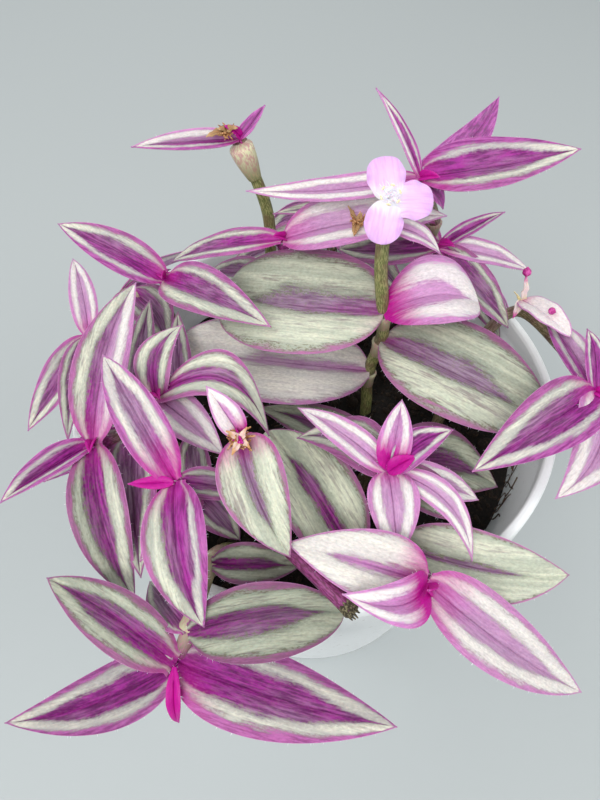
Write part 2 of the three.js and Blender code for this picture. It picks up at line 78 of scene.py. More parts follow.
# Places nearer than this are one place, in metres, in general and on the pot's seam
SAME_PLACE, SEAM = 1e-7, 1e-6
# Faces that meet at a sharper angle than this show a crisp edge
DRAWN_CREASE, GROWN_CREASE = math.radians(58), math.radians(50)


# Small tools that every class uses


def linear(hex_colour: str) -> tuple[float, float, float, float]:
    """Turns an sRGB hex colour to linear light.

    Args:
        hex_colour: Six hex digits, such as "c3bfbc".

    Returns:
        Red, green, blue and an alpha of 1.
    """
    parts = [int(hex_colour[k:k + 2], 16) / 255 for k in (0, 2, 4)]
    red, green, blue = (p / 12.92 if p <= 0.04045 else ((p + 0.055) / 1.055) ** 2.4 for p in parts)
    return red, green, blue, 1.0


def add(tree: NodeTree, kind: str, inputs: dict | tuple = (), settings: dict | None = None) -> Node:
    """Adds one node with its settings and links.

    Args:
        tree: The shader or geometry tree that gets the node.
        kind: The node's type name.
        inputs: What its inputs get, by name or in their order: a value, a socket, or a node, whose first
            output is used.
        settings: The node's own properties, by name.

    Returns:
        The new node.
    """
    node = tree.nodes.new(kind)
    for name, value in (settings or {}).items():
        setattr(node, name, value)
    for key, value in (inputs.items() if isinstance(inputs, dict) else enumerate(inputs)):
        used = node.inputs[key] if isinstance(key, int) else next(
            s for s in node.inputs if s.name == key and s.enabled)
        if isinstance(value, Node):
            value = next(s for s in value.outputs if s.enabled)
        if isinstance(value, NodeSocket):
            tree.links.new(value, used)
        else:
            used.default_value = value
    return node


def ramp(value: Value, start: float | Node = 0.0, end: float | Node = 1.0, to: tuple = (0.0, 1.0)) -> dict:
    """Names the inputs of a range: as the value goes from start to end, the result goes through to."""
    return {"Value": value, "From Min": start, "From Max": end, "To Min": to[0], "To Max": to[1]}


def blend(share: Value, first: Node | str, second: Node | str) -> dict:
    """Names the inputs of a mix of two colours, each a node or an sRGB hex colour."""
    first, second = (linear(c) if isinstance(c, str) else c for c in (first, second))
    return {"Factor": share, "A": first, "B": second}


def new_material(name: str) -> tuple[Material, NodeTree]:
    """Makes an empty node material.

    Args:
        name: The real material's name.

    Returns:
        The material and its node tree.
    """
    material = bpy.data.materials.new(name)
    material.use_nodes = True
    material.node_tree.nodes.clear()
    return material, material.node_tree


def surfaced(material: Material, colour: Value, roughness: Value, relief: Node, bump: tuple[float, float],
             glow: tuple[float, float], ior: float = 1.45, further: dict | None = None) -> Material:
    """Ends a material's tree in its surface.

    Args:
        material: The material.
        colour: Its colour.
        roughness: Its roughness.
        relief: The grain that its bumps follow.
        bump: How strong the bumps are, and their height in millimetres.
        glow: How much of the light goes under the surface, and how many millimetres deep.
        ior: Its index of refraction.
        further: What other inputs of the surface get.

    Returns:
        The same material.
    """
    tree = material.node_tree
    strength, height = bump
    share, depth = glow
    bumps = add(tree, "ShaderNodeBump", {"Strength": strength, "Distance": height * MM, "Height": relief})
    skin = add(tree, SURFACE,
               {"Base Color": colour, "Roughness": roughness, "Normal": bumps,
                "IOR": ior, "Subsurface Weight": share, "Subsurface Scale": depth * MM, **(further or {})})
    add(tree, "ShaderNodeOutputMaterial", {"Surface": skin})
    return material


def parts_of(tree: NodeTree, attributes: dict[str, str]) -> dict[str, NodeSocket]:
    """Reads a mesh's attributes of three numbers each.

    Args:
        tree: The shader tree.
        attributes: The names of the three parts of each attribute, by the attribute's name.

    Returns:
        The parts by name.
    """
    parts = {}
    for name, labels in attributes.items():
        source = add(tree, ATTRIBUTE, settings={"attribute_name": name}).outputs["Vector"]
        split = add(tree, SPLIT, (source,))
        parts.update(zip(labels.split(), split.outputs))
    return parts


def drawn_out(tree: NodeTree, size_mm: tuple[float, float], detail: float = 2.5) -> Node:
    """Adds a grain that runs along a blade, on the blade's own attribute.

    Args:
        tree: The shader tree.
        size_mm: The grain's width and length.
        detail: How much finer grain it holds.

    Returns:
        The grain's node.
    """
    place = add(tree, ATTRIBUTE, settings={"attribute_name": "grain"}).outputs["Vector"]
    across, length = (1 / (part * MM) for part in size_mm)
    scaled = add(tree, VECTOR_MATH, (place, (across, length, 1.0)), TIMES)
    return add(tree, NOISE, {"Vector": scaled, "Scale": 1.0, "Detail": detail, "Roughness": 0.58})


def stirred(tree: NodeTree, grain: Node, reach: float, value: Node | NodeSocket) -> Node:
    """Moves a value up and down with a grain, by half the reach each way at most."""
    swing = add(tree, MATH, (grain, 0.5), MINUS)
    return add(tree, MATH, (swing, reach, value), TIMES_PLUS)


def lerp(low: float, high: float, part: float) -> float:
    """The value that lies at a part of the way from low to high."""
    return low + (high - low) * part


def nearness(place: Vector, others: list[Vector], reach: float) -> float:
    """How near a place is to the nearest of others: 1 where it lies on one, fading to 0 past the reach."""
    return max((math.exp(-((place - other).length / reach) ** 2) for other in others), default=0.0)


@dataclass
class Draft:
    """A mesh being drawn: places in millimetres, faces, rim faces, material numbers and point attributes.

    Instead of faces it can hold edges, as lines that tubes are to run along.
    """

    places: list[Vector] = field(default_factory=list)
    faces: list[tuple[int, ...]] = field(default_factory=list)
    edges: list[tuple[int, int]] = field(default_factory=list)
    rims: list[tuple[int, ...]] = field(default_factory=list)
    skins: list[int] = field(default_factory=list)
    marks: dict[str, list[Mark]] = field(default_factory=dict)

    def run(self, line: list[Vector], radii: list[float], stalks: list[Mark] = ()) -> None:
        """Adds a line for a tube.

        Args:
            line: The line's points.
            radii: The radius at each point.
            stalks: The mark at each point, if any: how swollen, how purple and how pale it is.
        """
        first = len(self.places)
        self.places.extend(line)
        self.edges.extend((k, k + 1) for k in range(first, len(self.places) - 1))
        self.marks.setdefault("stalk_radius", []).extend((r * MM, 0.0, 0.0) for r in radii)
        self.marks.setdefault("stalk", []).extend(stalks or [(0.0, 0.0, 0.0)] * len(line))

    def mesh(self, name: str) -> Mesh:
        """Writes the draft as a mesh, its faces smooth with crisp edges.

        Args:
            name: The mesh's name.

        Returns:
            The mesh, in metres.
        """
        mesh = bpy.data.meshes.new(name)
        mesh.from_pydata([tuple(place * MM) for place in self.places], self.edges, self.faces)
        for mark, values in self.marks.items():
            layer = mesh.attributes.new(mark, "FLOAT_VECTOR", "POINT")
            layer.data.foreach_set("vector", [part for value in values for part in value])
        if self.skins:
            mesh.polygons.foreach_set("material_index", self.skins)
        if self.faces:
            mesh.shade_smooth()
            mesh.set_sharp_from_angle(angle=DRAWN_CREASE)
        return mesh

    def place(self, name: str, finishes: list[Material]) -> Object:
        """Puts the draft in the scene as a piece with its finishes."""
        return place_mesh(self.mesh(name), name, finishes)


def place_mesh(mesh: Mesh, name: str, finishes: list[Material]) -> Object:
    """Puts a mesh in the scene with its finishes.

    Args:
        mesh: The mesh, in metres and in place.
        name: The piece's name.
        finishes: Its materials, in slot order.

    Returns:
        The new object, at the origin.
    """
    mesh.materials.clear()
    for finish in finishes:
        mesh.materials.append(finish)
    piece = bpy.data.objects.new(name, mesh)
    bpy.context.scene.collection.objects.link(piece)
    return piece


def turn_outward(mesh: Mesh) -> None:
    """Merges doubles in a closed mesh and turns its faces outward.

    Args:
        mesh: The mesh, which is changed.
    """
    work = bmesh.new()
    work.from_mesh(mesh)
    bmesh.ops.remove_doubles(work, verts=work.verts, dist=SAME_PLACE)
    bmesh.ops.recalc_face_normals(work, faces=work.faces)
    work.to_mesh(mesh)
    work.free()


def settle(piece: Object, slot: str, *stands_for: str) -> None:
    """Fixes a finished piece to the plant's body.

    Args:
        piece: The piece, finished and in place.
        slot: The name of a material slot, which is only written to the log.
        stands_for: The solids that it replaces.
    """
    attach(piece, "root")
    if stands_for:
        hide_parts(*stands_for)
    LOG.info("%s: %d faces, slot %s", piece.name, len(piece.data.polygons), slot)


# Geometry Nodes


@dataclass(frozen=True)
class Recipe:
    """A Geometry Nodes tree whose named inputs are set when a piece is grown from it."""

    tree: NodeTree
    start: Node
    end: Node

    @classmethod
    def named(cls, name: str, inputs: dict[str, str]) -> "Recipe":
        """Starts a tree with a geometry input and output.

        Args:
            name: The tree's name.
            inputs: The kind of each further input, by the input's name.

        Returns:
            The recipe, with nothing between its two ends.
        """
        tree = bpy.data.node_groups.new(name, "GeometryNodeTree")
        tree.interface.new_socket("Geometry", in_out="INPUT", socket_type="NodeSocketGeometry")
        for label, kind in inputs.items():
            tree.interface.new_socket(label, in_out="INPUT", socket_type=f"NodeSocket{kind}")
        tree.interface.new_socket("Geometry", in_out="OUTPUT", socket_type="NodeSocketGeometry")
        return cls(tree, tree.nodes.new("NodeGroupInput"), tree.nodes.new("NodeGroupOutput"))

    def given(self, name: str) -> NodeSocket:
        """The tree's input of that name."""
        return self.start.outputs[name]

    def finish(self, last: Node) -> "Recipe":
        """Ends the tree in real geometry with its material.

        Args:
            last: The node whose geometry the tree gives.

        Returns:
            The finished recipe.
        """
        smooth = add(self.tree, "GeometryNodeSetShadeSmooth", {"Geometry": last})
        real = add(self.tree, REALIZE, {"Geometry": smooth})
        dressed = add(
            self.tree, "GeometryNodeSetMaterial", {"Geometry": real, "Material": self.given("Material")})
        self.tree.links.new(dressed.outputs["Geometry"], self.end.inputs["Geometry"])
        return self

    def grow(self, source: Draft, name: str, values: dict) -> Object:
        """Runs the tree on a draft and keeps the result as a plain mesh.

        Args:
            source: What the tree starts from.
            name: The new piece's name.
            values: What each named input gets.

        Returns:
            The piece, with no modifier.
        """
        seed = bpy.data.objects.new(f"{name}_source", source.mesh(f"{name}_source"))
        bpy.context.scene.collection.objects.link(seed)
        modifier = seed.modifiers.new("Recipe", "NODES")
        modifier.node_group = self.tree
        labels = {i.name: i.identifier for i in self.tree.interface.items_tree
                  if i.in_out == "INPUT" and i.socket_type != "NodeSocketGeometry"}
        for label, value in values.items():
            modifier[labels[label]] = value
        evaluated = seed.evaluated_get(bpy.context.evaluated_depsgraph_get())
        mesh = bpy.data.meshes.new_from_object(evaluated)
        seed.modifiers.remove(modifier)
        bpy.data.objects.remove(seed)
        turn_outward(mesh)
        mesh.set_sharp_from_angle(angle=GROWN_CREASE)
        mesh.name = name
        return place_mesh(mesh, name, [values["Material"]])


def turned_recipe() -> Recipe:
    """The tree that turns a half profile round the Z axis and drills a ring of holes through its floor.

    Returns:
        A recipe that starts from a line of points in the XZ plane, from axis to axis.
    """
    recipe = Recipe.named("Turned Pot", {
        "Sides": "Int", "Edge Rounding": "Float", "Hole Count": "Int", "Hole Radius": "Float",
        "Hole Circle": "Float", "Hole Depth": "Float", "Material": "Material"})
    tree, given = recipe.tree, recipe.given
    line = add(tree, "GeometryNodeMeshToCurve", {"Mesh": given("Geometry")})
    rounded = add(tree, "GeometryNodeFilletCurve", {
        "Curve": line, "Radius": given("Edge Rounding"), "Count": 3, "Limit Radius": True}, {"mode": "POLY"})
    stations = add(tree, "GeometryNodeCurveToPoints", {"Curve": rounded}, {"mode": "EVALUATED"})
    count = add(tree, "GeometryNodeAttributeDomainSize", {"Geometry": stations}, {"component": "POINTCLOUD"})
    columns = add(tree, MATH, (given("Sides"), 1), PLUS)
    grid = add(tree, "GeometryNodeMeshGrid", {
        "Size X": 1.0, "Size Y": 1.0, "Vertices X": count.outputs["Point Count"], "Vertices Y": columns})
    spot = add(tree, SPLIT, (add(tree, POSITION),))
    last = add(tree, MATH, (count.outputs["Point Count"], 1), MINUS)
    share = add(tree, MATH, (spot.outputs["X"], 0.5), PLUS)
    number = add(tree, MATH, (share, last), TIMES)
    station = add(tree, MATH, (number,), {"operation": "ROUND"})
    here = add(tree, POSITION)
    profile = add(tree, "GeometryNodeSampleIndex",
                  {"Geometry": stations, "Value": here, "Index": station}, VECTORS)
    reach = add(tree, SPLIT, (profile,))
    turn = add(tree, MATH, (spot.outputs["Y"], 0.5), PLUS)
    angle = add(tree, MATH, (turn, 2 * math.pi), TIMES)
    cosine = add(tree, MATH, (angle,), {"operation": "COSINE"})
    sine = add(tree, MATH, (angle,), {"operation": "SINE"})
    x = add(tree, MATH, (reach.outputs["X"], cosine), TIMES)
    y = add(tree, MATH, (reach.outputs["X"], sine), TIMES)
    place = add(tree, JOIN, {"X": x, "Y": y, "Z": reach.outputs["Z"]})
    shell = add(tree, "GeometryNodeSetPosition", {"Geometry": grid, "Position": place})
    closed = add(tree, "GeometryNodeMergeByDistance", {"Geometry": shell, "Distance": SEAM})
    ring = add(tree, "GeometryNodeMeshCircle",
               {"Vertices": given("Hole Count"), "Radius": given("Hole Circle")})
    drill = add(tree, "GeometryNodeMeshCylinder",
                {"Vertices": 32, "Radius": given("Hole Radius"), "Depth": given("Hole Depth")})
    drills = add(tree, "GeometryNodeInstanceOnPoints", {"Points": ring, "Instance": drill})
    half_step = add(tree, MATH, (math.pi, given("Hole Count")), OVER)
    turned = add(tree, JOIN, {"Z": half_step})
    placed = add(tree, "GeometryNodeTransform", {"Geometry": drills, "Rotation": turned})
    holes = add(tree, REALIZE, (placed,))
    cut = add(tree, "GeometryNodeMeshBoolean",
              {"Mesh 1": closed, "Mesh 2": holes}, {"operation": "DIFFERENCE", "solver": "EXACT"})
    return recipe.finish(cut)


def tube_recipe() -> Recipe:
    """The tree that runs a round tube along every line of its input, as thick as the line's points say.

    Returns:
        A recipe that starts from lines of points with a "stalk_radius" attribute. The tube's attribute run
        holds the length along it, and turn the direction round it.
    """
    recipe = Recipe.named("Tube Along Line", {"Sides": "Int", "Material": "Material"})
    tree, given = recipe.tree, recipe.given
    thick = add(tree, "GeometryNodeInputNamedAttribute", {"Name": "stalk_radius"}, VECTORS)
    radius = add(tree, SPLIT, (thick,))
    line = add(tree, "GeometryNodeMeshToCurve", {"Mesh": given("Geometry")})
    sized = add(tree, "GeometryNodeSetCurveRadius", {"Curve": line, "Radius": radius.outputs["X"]})
    length = add(tree, "GeometryNodeSplineParameter").outputs["Length"]
    run = add(tree, STORE, {"Geometry": sized, "Name": "run", "Value": length}, NUMBERS)
    ring = add(tree, "GeometryNodeCurvePrimitiveCircle", {"Resolution": given("Sides"), "Radius": 1.0})
    around = add(tree, POSITION)
    turned = add(tree, STORE, {"Geometry": ring, "Name": "turn", "Value": around}, VECTORS)
    tube = add(tree, "GeometryNodeCurveToMesh", {"Curve": run, "Profile Curve": turned, "Fill Caps": True})
    if "Scale" in tube.inputs:
        tree.links.new(radius.outputs["X"], tube.inputs["Scale"])
    return recipe.finish(tube)


def crumb_recipe() -> Recipe:
    """The tree that strews crumbs of different sizes on a surface, each turned its own way.

    Returns:
        A recipe that starts from the surface that the crumbs lie on.
    """
    recipe = Recipe.named("Strewn Crumbs", {
        "Density": "Float", "Smallest": "Float", "Largest": "Float", "Roughness": "Float",
        "Seed": "Int", "Material": "Material"})
    tree, given = recipe.tree, recipe.given
    spots = add(tree, "GeometryNodeDistributePointsOnFaces",
                {"Mesh": given("Geometry"), "Density": given("Density"), "Seed": given("Seed")})
    draw = add(tree, RANDOM, {"Min": 0.0, "Max": 1.0, "Seed": given("Seed")}, NUMBERS)
    skewed = add(tree, MATH, (draw, 2.5), {"operation": "POWER"})
    size = add(tree, RANGE, ramp(skewed, to=(given("Smallest"), given("Largest"))))
    stretch = add(tree, RANDOM, {"Min": (0.6, 0.6, 0.45), "Max": (1.3, 1.0, 0.9), "Seed": 5}, VECTORS)
    scale = add(tree, VECTOR_MATH, (stretch, size), TIMES)
    turn = add(tree, RANDOM, {"Min": (0.0, 0.0, 0.0), "Max": (6.28, 6.28, 6.28), "Seed": 9}, VECTORS)
    crumb = add(tree, "GeometryNodeMeshIcoSphere", {"Radius": 1.0, "Subdivisions": 2})
    strewn = add(tree, "GeometryNodeInstanceOnPoints",
                 {"Points": spots.outputs["Points"], "Instance": crumb, "Rotation": turn, "Scale": scale})
    real = add(tree, REALIZE, {"Geometry": strewn})
    spot = add(tree, POSITION)
    ragged = add(tree, NOISE, {"Vector": spot, "Scale": 900.0, "Detail": 1.0})
    push = add(tree, MATH, (ragged, 0.5), MINUS)
    depth = add(tree, MATH, (push, given("Roughness")), TIMES)
    offset = add(tree, VECTOR_MATH, {"Vector": add(tree, "GeometryNodeInputNormal"), "Scale": depth}, SCALED)
    rough = add(tree, "GeometryNodeSetPosition", {"Geometry": real, "Offset": offset})
    return recipe.finish(rough)


def hair_recipe() -> Recipe:
    """The tree that grows fine pointed hairs out of a surface.

    Returns:
        A recipe that starts from the surface that the hairs stand on.
    """
    recipe = Recipe.named("Fine Hairs", {
        "Density": "Float", "Length": "Float", "Radius": "Float", "Lean": "Float",
        "Seed": "Int", "Material": "Material"})
    tree, given = recipe.tree, recipe.given
    spots = add(tree, "GeometryNodeDistributePointsOnFaces",
                {"Mesh": given("Geometry"), "Density": given("Density"), "Seed": given("Seed")})
    hair = add(tree, "GeometryNodeMeshCone", {
        "Vertices": 3, "Radius Top": 0.0, "Radius Bottom": given("Radius"), "Depth": given("Length")})
    around = add(tree, RANDOM, {"Min": (-1.0, -1.0, 0.0), "Max": (1.0, 1.0, 6.28), "Seed": 3}, VECTORS)
    lean = add(tree, VECTOR_MATH, {"Vector": around, "Scale": given("Lean")}, SCALED)
    leant = add(tree, "FunctionNodeEulerToRotation", {"Euler": lean})
    bent = add(tree, "FunctionNodeRotateRotation",
               {"Rotation": spots.outputs["Rotation"], "Rotate By": leant}, {"rotation_space": "LOCAL"})
    length = add(tree, RANDOM, {"Min": 0.55, "Max": 1.0, "Seed": 4}, NUMBERS)
    standing = add(tree, "GeometryNodeInstanceOnPoints",
                   {"Points": spots.outputs["Points"], "Instance": hair, "Rotation": bent, "Scale": length})
    return recipe.finish(standing)


# Finishes


@dataclass(frozen=True)
class LeafSkin:
    """Living leaf, upper side: a speckled silver band on each half, between a purple middle and margin."""

    deep: str = "74206a"
    magenta: str = "b0369f"
    grey_deep: str = "7c5578"
    grey_mauve: str = "a98da6"
    olive: str = "6f7054"
    cream: str = "ece5da"
    green_cream: str = "d6dac0"
    grey_silver: str = "b9acb6"
    green_silver: str = "9da892"
    shadow: str = "806e70"
    margin_deep: str = "8f2d83"
    margin_light: str = "bd5fae"
    margin_aged: str = "a5708c"
    # Painted highlight: a pale line along the very edge of the leaf, where the edge catches the light
    rim: str = "d895cb"
    # The midrib's dark line: partly the vein's own colour, partly painted shade in the fold
    vein_and_fold_shade: str = "5c1652"
    hot: str = "b8128c"
    pale: str = "e2b0da"
    frost: str = "f4e8ec"
    # Each grain's width and length. Real cells are finer, and are drawn as coarse as they need to be to show
    streak_mm: tuple[float, float] = (0.5, 5.0)
    patch_mm: tuple[float, float] = (1.8, 7.0)
    stripe_mm: tuple[float, float] = (2.4, 60.0)
    cell_mm: tuple[float, float] = (0.38, 0.85)
    margin_mm: float = 0.5

    def build(self) -> Material:
        """Builds the pattern from the leaf's own attributes.

        The attribute blade holds the place on the leaf (0 midrib to 1 margin, 0 foot to 1 tip, half the
        width in metres), tint how silver, green and pale the leaf is, mood how hot pink its foot is, how
        dull and how vivid it is, and grain the place across and along in metres. Dullness darkens the
        leaf: age on old leaves, painted shade on leaves that lie in shade.

        Returns:
            The material. Its satin skin shows soft highlights that break up along fine lengthwise ridges.
        """
        material, tree = new_material("living_leaf_upper_skin")
        facts = parts_of(
            tree, {"blade": "edge along half", "tint": "silver green pale", "mood": "hot dull vivid"})
        sizes = {
            "streak": self.streak_mm, "patch": self.patch_mm, "stripe": self.stripe_mm, "cell": self.cell_mm}
        facts |= {name: drawn_out(tree, size) for name, size in sizes.items()}
        middle = self._middle(tree, facts)
        margin = self._margin(tree, facts)
        band, core, outer, outline = self._band(tree, facts)
        ground = add(tree, MIX, blend(outer, middle, margin), RGBA)
        banded = add(tree, MIX, blend(band, ground, self._silver(tree, facts, core)), RGBA)
        lined = add(tree, MIX, blend(outline, banded, self.olive), RGBA)
        edged = self._edged(tree, facts, lined, margin)
        colour = self._darkened_by_age_and_shade(tree, facts, edged)
        relief = add(tree, MATH, (facts["streak"], 0.7, facts["cell"]), TIMES_PLUS)
        rough = add(tree, RANGE, ramp(facts["cell"], to=(0.3, 0.55)))
        return surfaced(material, colour, rough, relief, (0.4, 0.25), (0.1, 0.6),
                        further={"Specular IOR Level": 0.28})

    def _band(self, tree: NodeTree, facts: dict) -> tuple[Node, ...]:
        """Where the silver band lies: broader on silvery leaves and towards the tip, with ragged edges.

        Args:
            tree: The leaf's shader tree.
            facts: The leaf's attributes and grains by name.

        Returns:
            The band, its bright core, what lies outside it towards the margin, and its speckled outline.
        """
        place = facts["edge"]
        for name, reach in (("streak", 0.22), ("patch", 0.24), ("cell", 0.12)):
            place = stirred(tree, facts[name], reach, place)
        tip = add(tree, RANGE, ramp(facts["along"], 0.5, 1.0), SMOOTH)
        foot = add(tree, RANGE, ramp(facts["along"], 0.0, 0.3, to=(0.05, 0.0)), SMOOTH)
        middle = add(tree, RANGE, ramp(facts["silver"], to=(0.64, 0.51)))
        centre = add(tree, MATH, (tip, -0.16, middle), TIMES_PLUS)
        usual = add(tree, RANGE, ramp(facts["silver"], to=(0.05, 0.41)), {"clamp": False})
        wider = add(tree, MATH, (tip, 0.24, usual), TIMES_PLUS)
        reach = add(tree, MATH, (wider, foot), MINUS)
        aside = add(tree, MATH, (place, centre), MINUS)
        away = add(tree, MATH, (aside,), SIZE_OF)
        past = add(tree, MATH, (away, reach), MINUS)
        band = add(tree, RANGE, ramp(past, -0.06, 0.08, to=(1.0, 0.0)), SMOOTH)
        core = add(tree, RANGE, ramp(past, -0.2, 0.04, to=(1.0, 0.0)), SMOOTH)
        outer = add(tree, RANGE, ramp(aside, -0.03, 0.03), SMOOTH)
        beside = add(tree, MATH, (past,), SIZE_OF)
        line = add(tree, RANGE, ramp(beside, 0.02, 0.09, to=(0.8, 0.0)), SMOOTH)
        speckled = add(tree, RANGE, ramp(facts["cell"], 0.44, 0.6), SMOOTH)
        mixed = add(tree, MATH, (line, speckled), TIMES)
        outline = add(tree, MATH, (mixed, facts["green"]), TIMES)
        return band, core, outer, outline

    def _middle(self, tree: NodeTree, facts: dict) -> Node:
        """The middle's colour: purple streaks, vivid near the foot and greyer on old leaves, and a dark
        midrib line, partly the vein's colour and partly painted shade in its fold.

        Args:
            tree: The leaf's shader tree.
            facts: The leaf's attributes and grains by name.

        Returns:
            The node that gives the colour.
        """
        streak = add(tree, RANGE, ramp(facts["streak"], 0.34, 0.66), SMOOTH)
        bright = add(tree, MIX, blend(streak, self.deep, self.magenta), RGBA)
        grey = add(tree, MIX, blend(streak, self.grey_deep, self.grey_mauve), RGBA)
        share = add(tree, RANGE, ramp(facts["along"], 0.05, 0.5, to=(0.5, -0.1)), SMOOTH)
        for name, reach in (("patch", 1.2), ("stripe", 1.4)):
            share = stirred(tree, facts[name], reach, share)
        share = add(tree, MATH, (share, facts["vivid"]), PLUS_CLAMPED)
        purple = add(tree, MIX, blend(share, grey, bright), RGBA)
        cells = add(tree, RANGE, ramp(facts["cell"], 0.48, 0.66, to=(0.0, 0.5)), SMOOTH)
        greened = add(tree, MATH, (cells, facts["green"]), TIMES)
        olive = add(tree, MIX, blend(greened, purple, self.olive), RGBA)
        paler = add(tree, MIX, blend(facts["pale"], olive, self.pale), RGBA)
        # The dark midrib line: the vein's own colour and painted shade in the fold of the crease
        across = add(tree, MATH, (facts["edge"], facts["half"]), TIMES)
        midrib_vein_and_shade = add(tree, RANGE, ramp(across, 0.05 * MM, 0.35 * MM, to=(0.5, 0.0)), SMOOTH)
        fading = add(tree, RANGE, ramp(facts["along"], 0.2, 0.9, to=(1.0, 0.2)))
        share = add(tree, MATH, (midrib_vein_and_shade, fading), TIMES)
        return add(tree, MIX, blend(share, paler, self.vein_and_fold_shade), RGBA)

    def _margin(self, tree: NodeTree, facts: dict) -> Node:
        """The margin's colour: pinkish purple, in fine streaks.

        Args:
            tree: The leaf's shader tree.
            facts: The leaf's attributes and grains by name.

        Returns:
            The node that gives the colour.
        """
        streak = add(tree, RANGE, ramp(facts["streak"], 0.38, 0.62), SMOOTH)
        purple = add(tree, MIX, blend(streak, self.margin_deep, self.margin_light), RGBA)
        aged = add(tree, MATH, (facts["green"], 0.75), TIMES)
        greyed = add(tree, MIX, blend(aged, purple, self.margin_aged), RGBA)
        share = add(tree, MATH, (facts["pale"], 0.7), TIMES)
        return add(tree, MIX, blend(share, greyed, self.pale), RGBA)

    def _silver(self, tree: NodeTree, facts: dict, core: Node) -> Node:
        """The band's colour: cream at its core, greyer and greener beside it.

        Args:
            tree: The leaf's shader tree.
            facts: The leaf's attributes and grains by name.
            core: The band's bright core.

        Returns:
            The node that gives the colour.
        """
        dim = add(tree, MIX, blend(facts["green"], self.grey_silver, self.green_silver), RGBA)
        lines = add(tree, RANGE, ramp(facts["streak"], 0.36, 0.64, to=(1.0, 0.7)), SMOOTH)
        clear = add(tree, RANGE, ramp(facts["stripe"], 0.36, 0.56, to=(0.4, 1.0)), SMOOTH)
        share = add(tree, MATH, (core, lines), TIMES)
        lit = add(tree, MATH, (share, clear), TIMES)
        bright = add(tree, MIX, blend(facts["green"], self.cream, self.green_cream), RGBA)
        silver = add(tree, MIX, blend(lit, dim, bright), RGBA)
        uneven = add(tree, MATH, (facts["streak"], facts["stripe"]), PLUS)
        freckled = add(tree, MATH, (facts["patch"], 0.6, uneven), TIMES_PLUS)
        dark = add(tree, RANGE, ramp(freckled, 1.3, 1.7, to=(0.0, 0.75)), SMOOTH)
        shaded = add(tree, MATH, (dark, facts["green"]), TIMES)
        mottled = add(tree, MIX, blend(shaded, silver, self.shadow), RGBA)
        return add(tree, MIX, blend(facts["pale"], mottled, self.frost), RGBA)

    def _edged(self, tree: NodeTree, facts: dict, inside: Node, margin: Node) -> Node:
        """Adds the margin that runs on to the tip, its pale rim, which is a painted highlight along the
        edge, and the hot pink foot.

        Args:
            tree: The leaf's shader tree.
            facts: The leaf's attributes and grains by name.
            inside: The leaf's colour so far.
            margin: The margin's colour.

        Returns:
            The node that gives the colour.
        """
        inward = add(tree, MATH, (add(tree, MATH, (1.0, facts["edge"]), MINUS), facts["half"]), TIMES)
        ragged = stirred(tree, facts["streak"], -1.2 * self.margin_mm * MM, inward)
        width = self.margin_mm * MM
        near = add(tree, RANGE, ramp(ragged, 0.4 * width, width, to=(0.9, 0.0)), SMOOTH)
        framed = add(tree, MIX, blend(near, inside, margin), RGBA)
        # The pale rim is a painted highlight along the leaf's edge
        rim = add(tree, RANGE, ramp(inward, 0.0, 0.18 * MM, to=(0.6, 0.0)), SMOOTH)
        rim_highlighted = add(tree, MIX, blend(rim, framed, self.rim), RGBA)
        place = stirred(tree, facts["streak"], 0.25, facts["along"])
        reach = add(tree, RANGE, ramp(facts["hot"], to=(0.08, 0.36)), {"clamp": False})
        foot = add(tree, RANGE, ramp(place, 0.0, reach, to=(1.0, 0.0)), SMOOTH)
        flush = add(tree, MATH, (foot, facts["hot"]), TIMES)
        return add(tree, MIX, blend(flush, rim_highlighted, self.hot), RGBA)

    def _darkened_by_age_and_shade(self, tree: NodeTree, facts: dict, colour: Node) -> Node:
        """Darkens old leaves, and as painted shade the leaves that lie in shade, and gives every leaf the
        light and dark of its cells.

        Args:
            tree: The leaf's shader tree.
            facts: The leaf's attributes and grains by name.
            colour: The leaf's colour so far.

        Returns:
            The node that gives the colour.
        """
        # Dullness darkens the colour: age on old leaves, painted shade on leaves that lie in shade
        age_and_shade_darkening = add(tree, RANGE, ramp(facts["dull"], to=(1.0, 0.45)))
        shimmer = add(tree, RANGE, ramp(facts["cell"], 0.25, 0.75, to=(0.82, 1.16)))
        light = add(tree, MATH, (age_and_shade_darkening, shimmer), TIMES)
        return add(tree, VECTOR_MATH, {"Vector": colour, "Scale": light}, SCALED)


@dataclass(frozen=True)
class LeafUnderside:
    """Living leaf, lower side: plain magenta purple with fine lengthwise streaks."""

    deep: str = "6b1560"
    bright: str = "a32c93"
    streak_mm: tuple[float, float] = (0.4, 8.0)

    def build(self) -> Material:
        """Builds the underside's skin.

        Returns:
            The material. Its waxy skin lets a little light through.
        """
        material, tree = new_material("living_leaf_lower_skin")
        streaks = drawn_out(tree, self.streak_mm, 3.0)
        share = add(tree, RANGE, ramp(streaks, 0.35, 0.65))
        colour = add(tree, MIX, blend(share, self.deep, self.bright), RGBA)
        return surfaced(material, colour, 0.5, streaks, (0.3, 0.2), (0.12, 0.6))


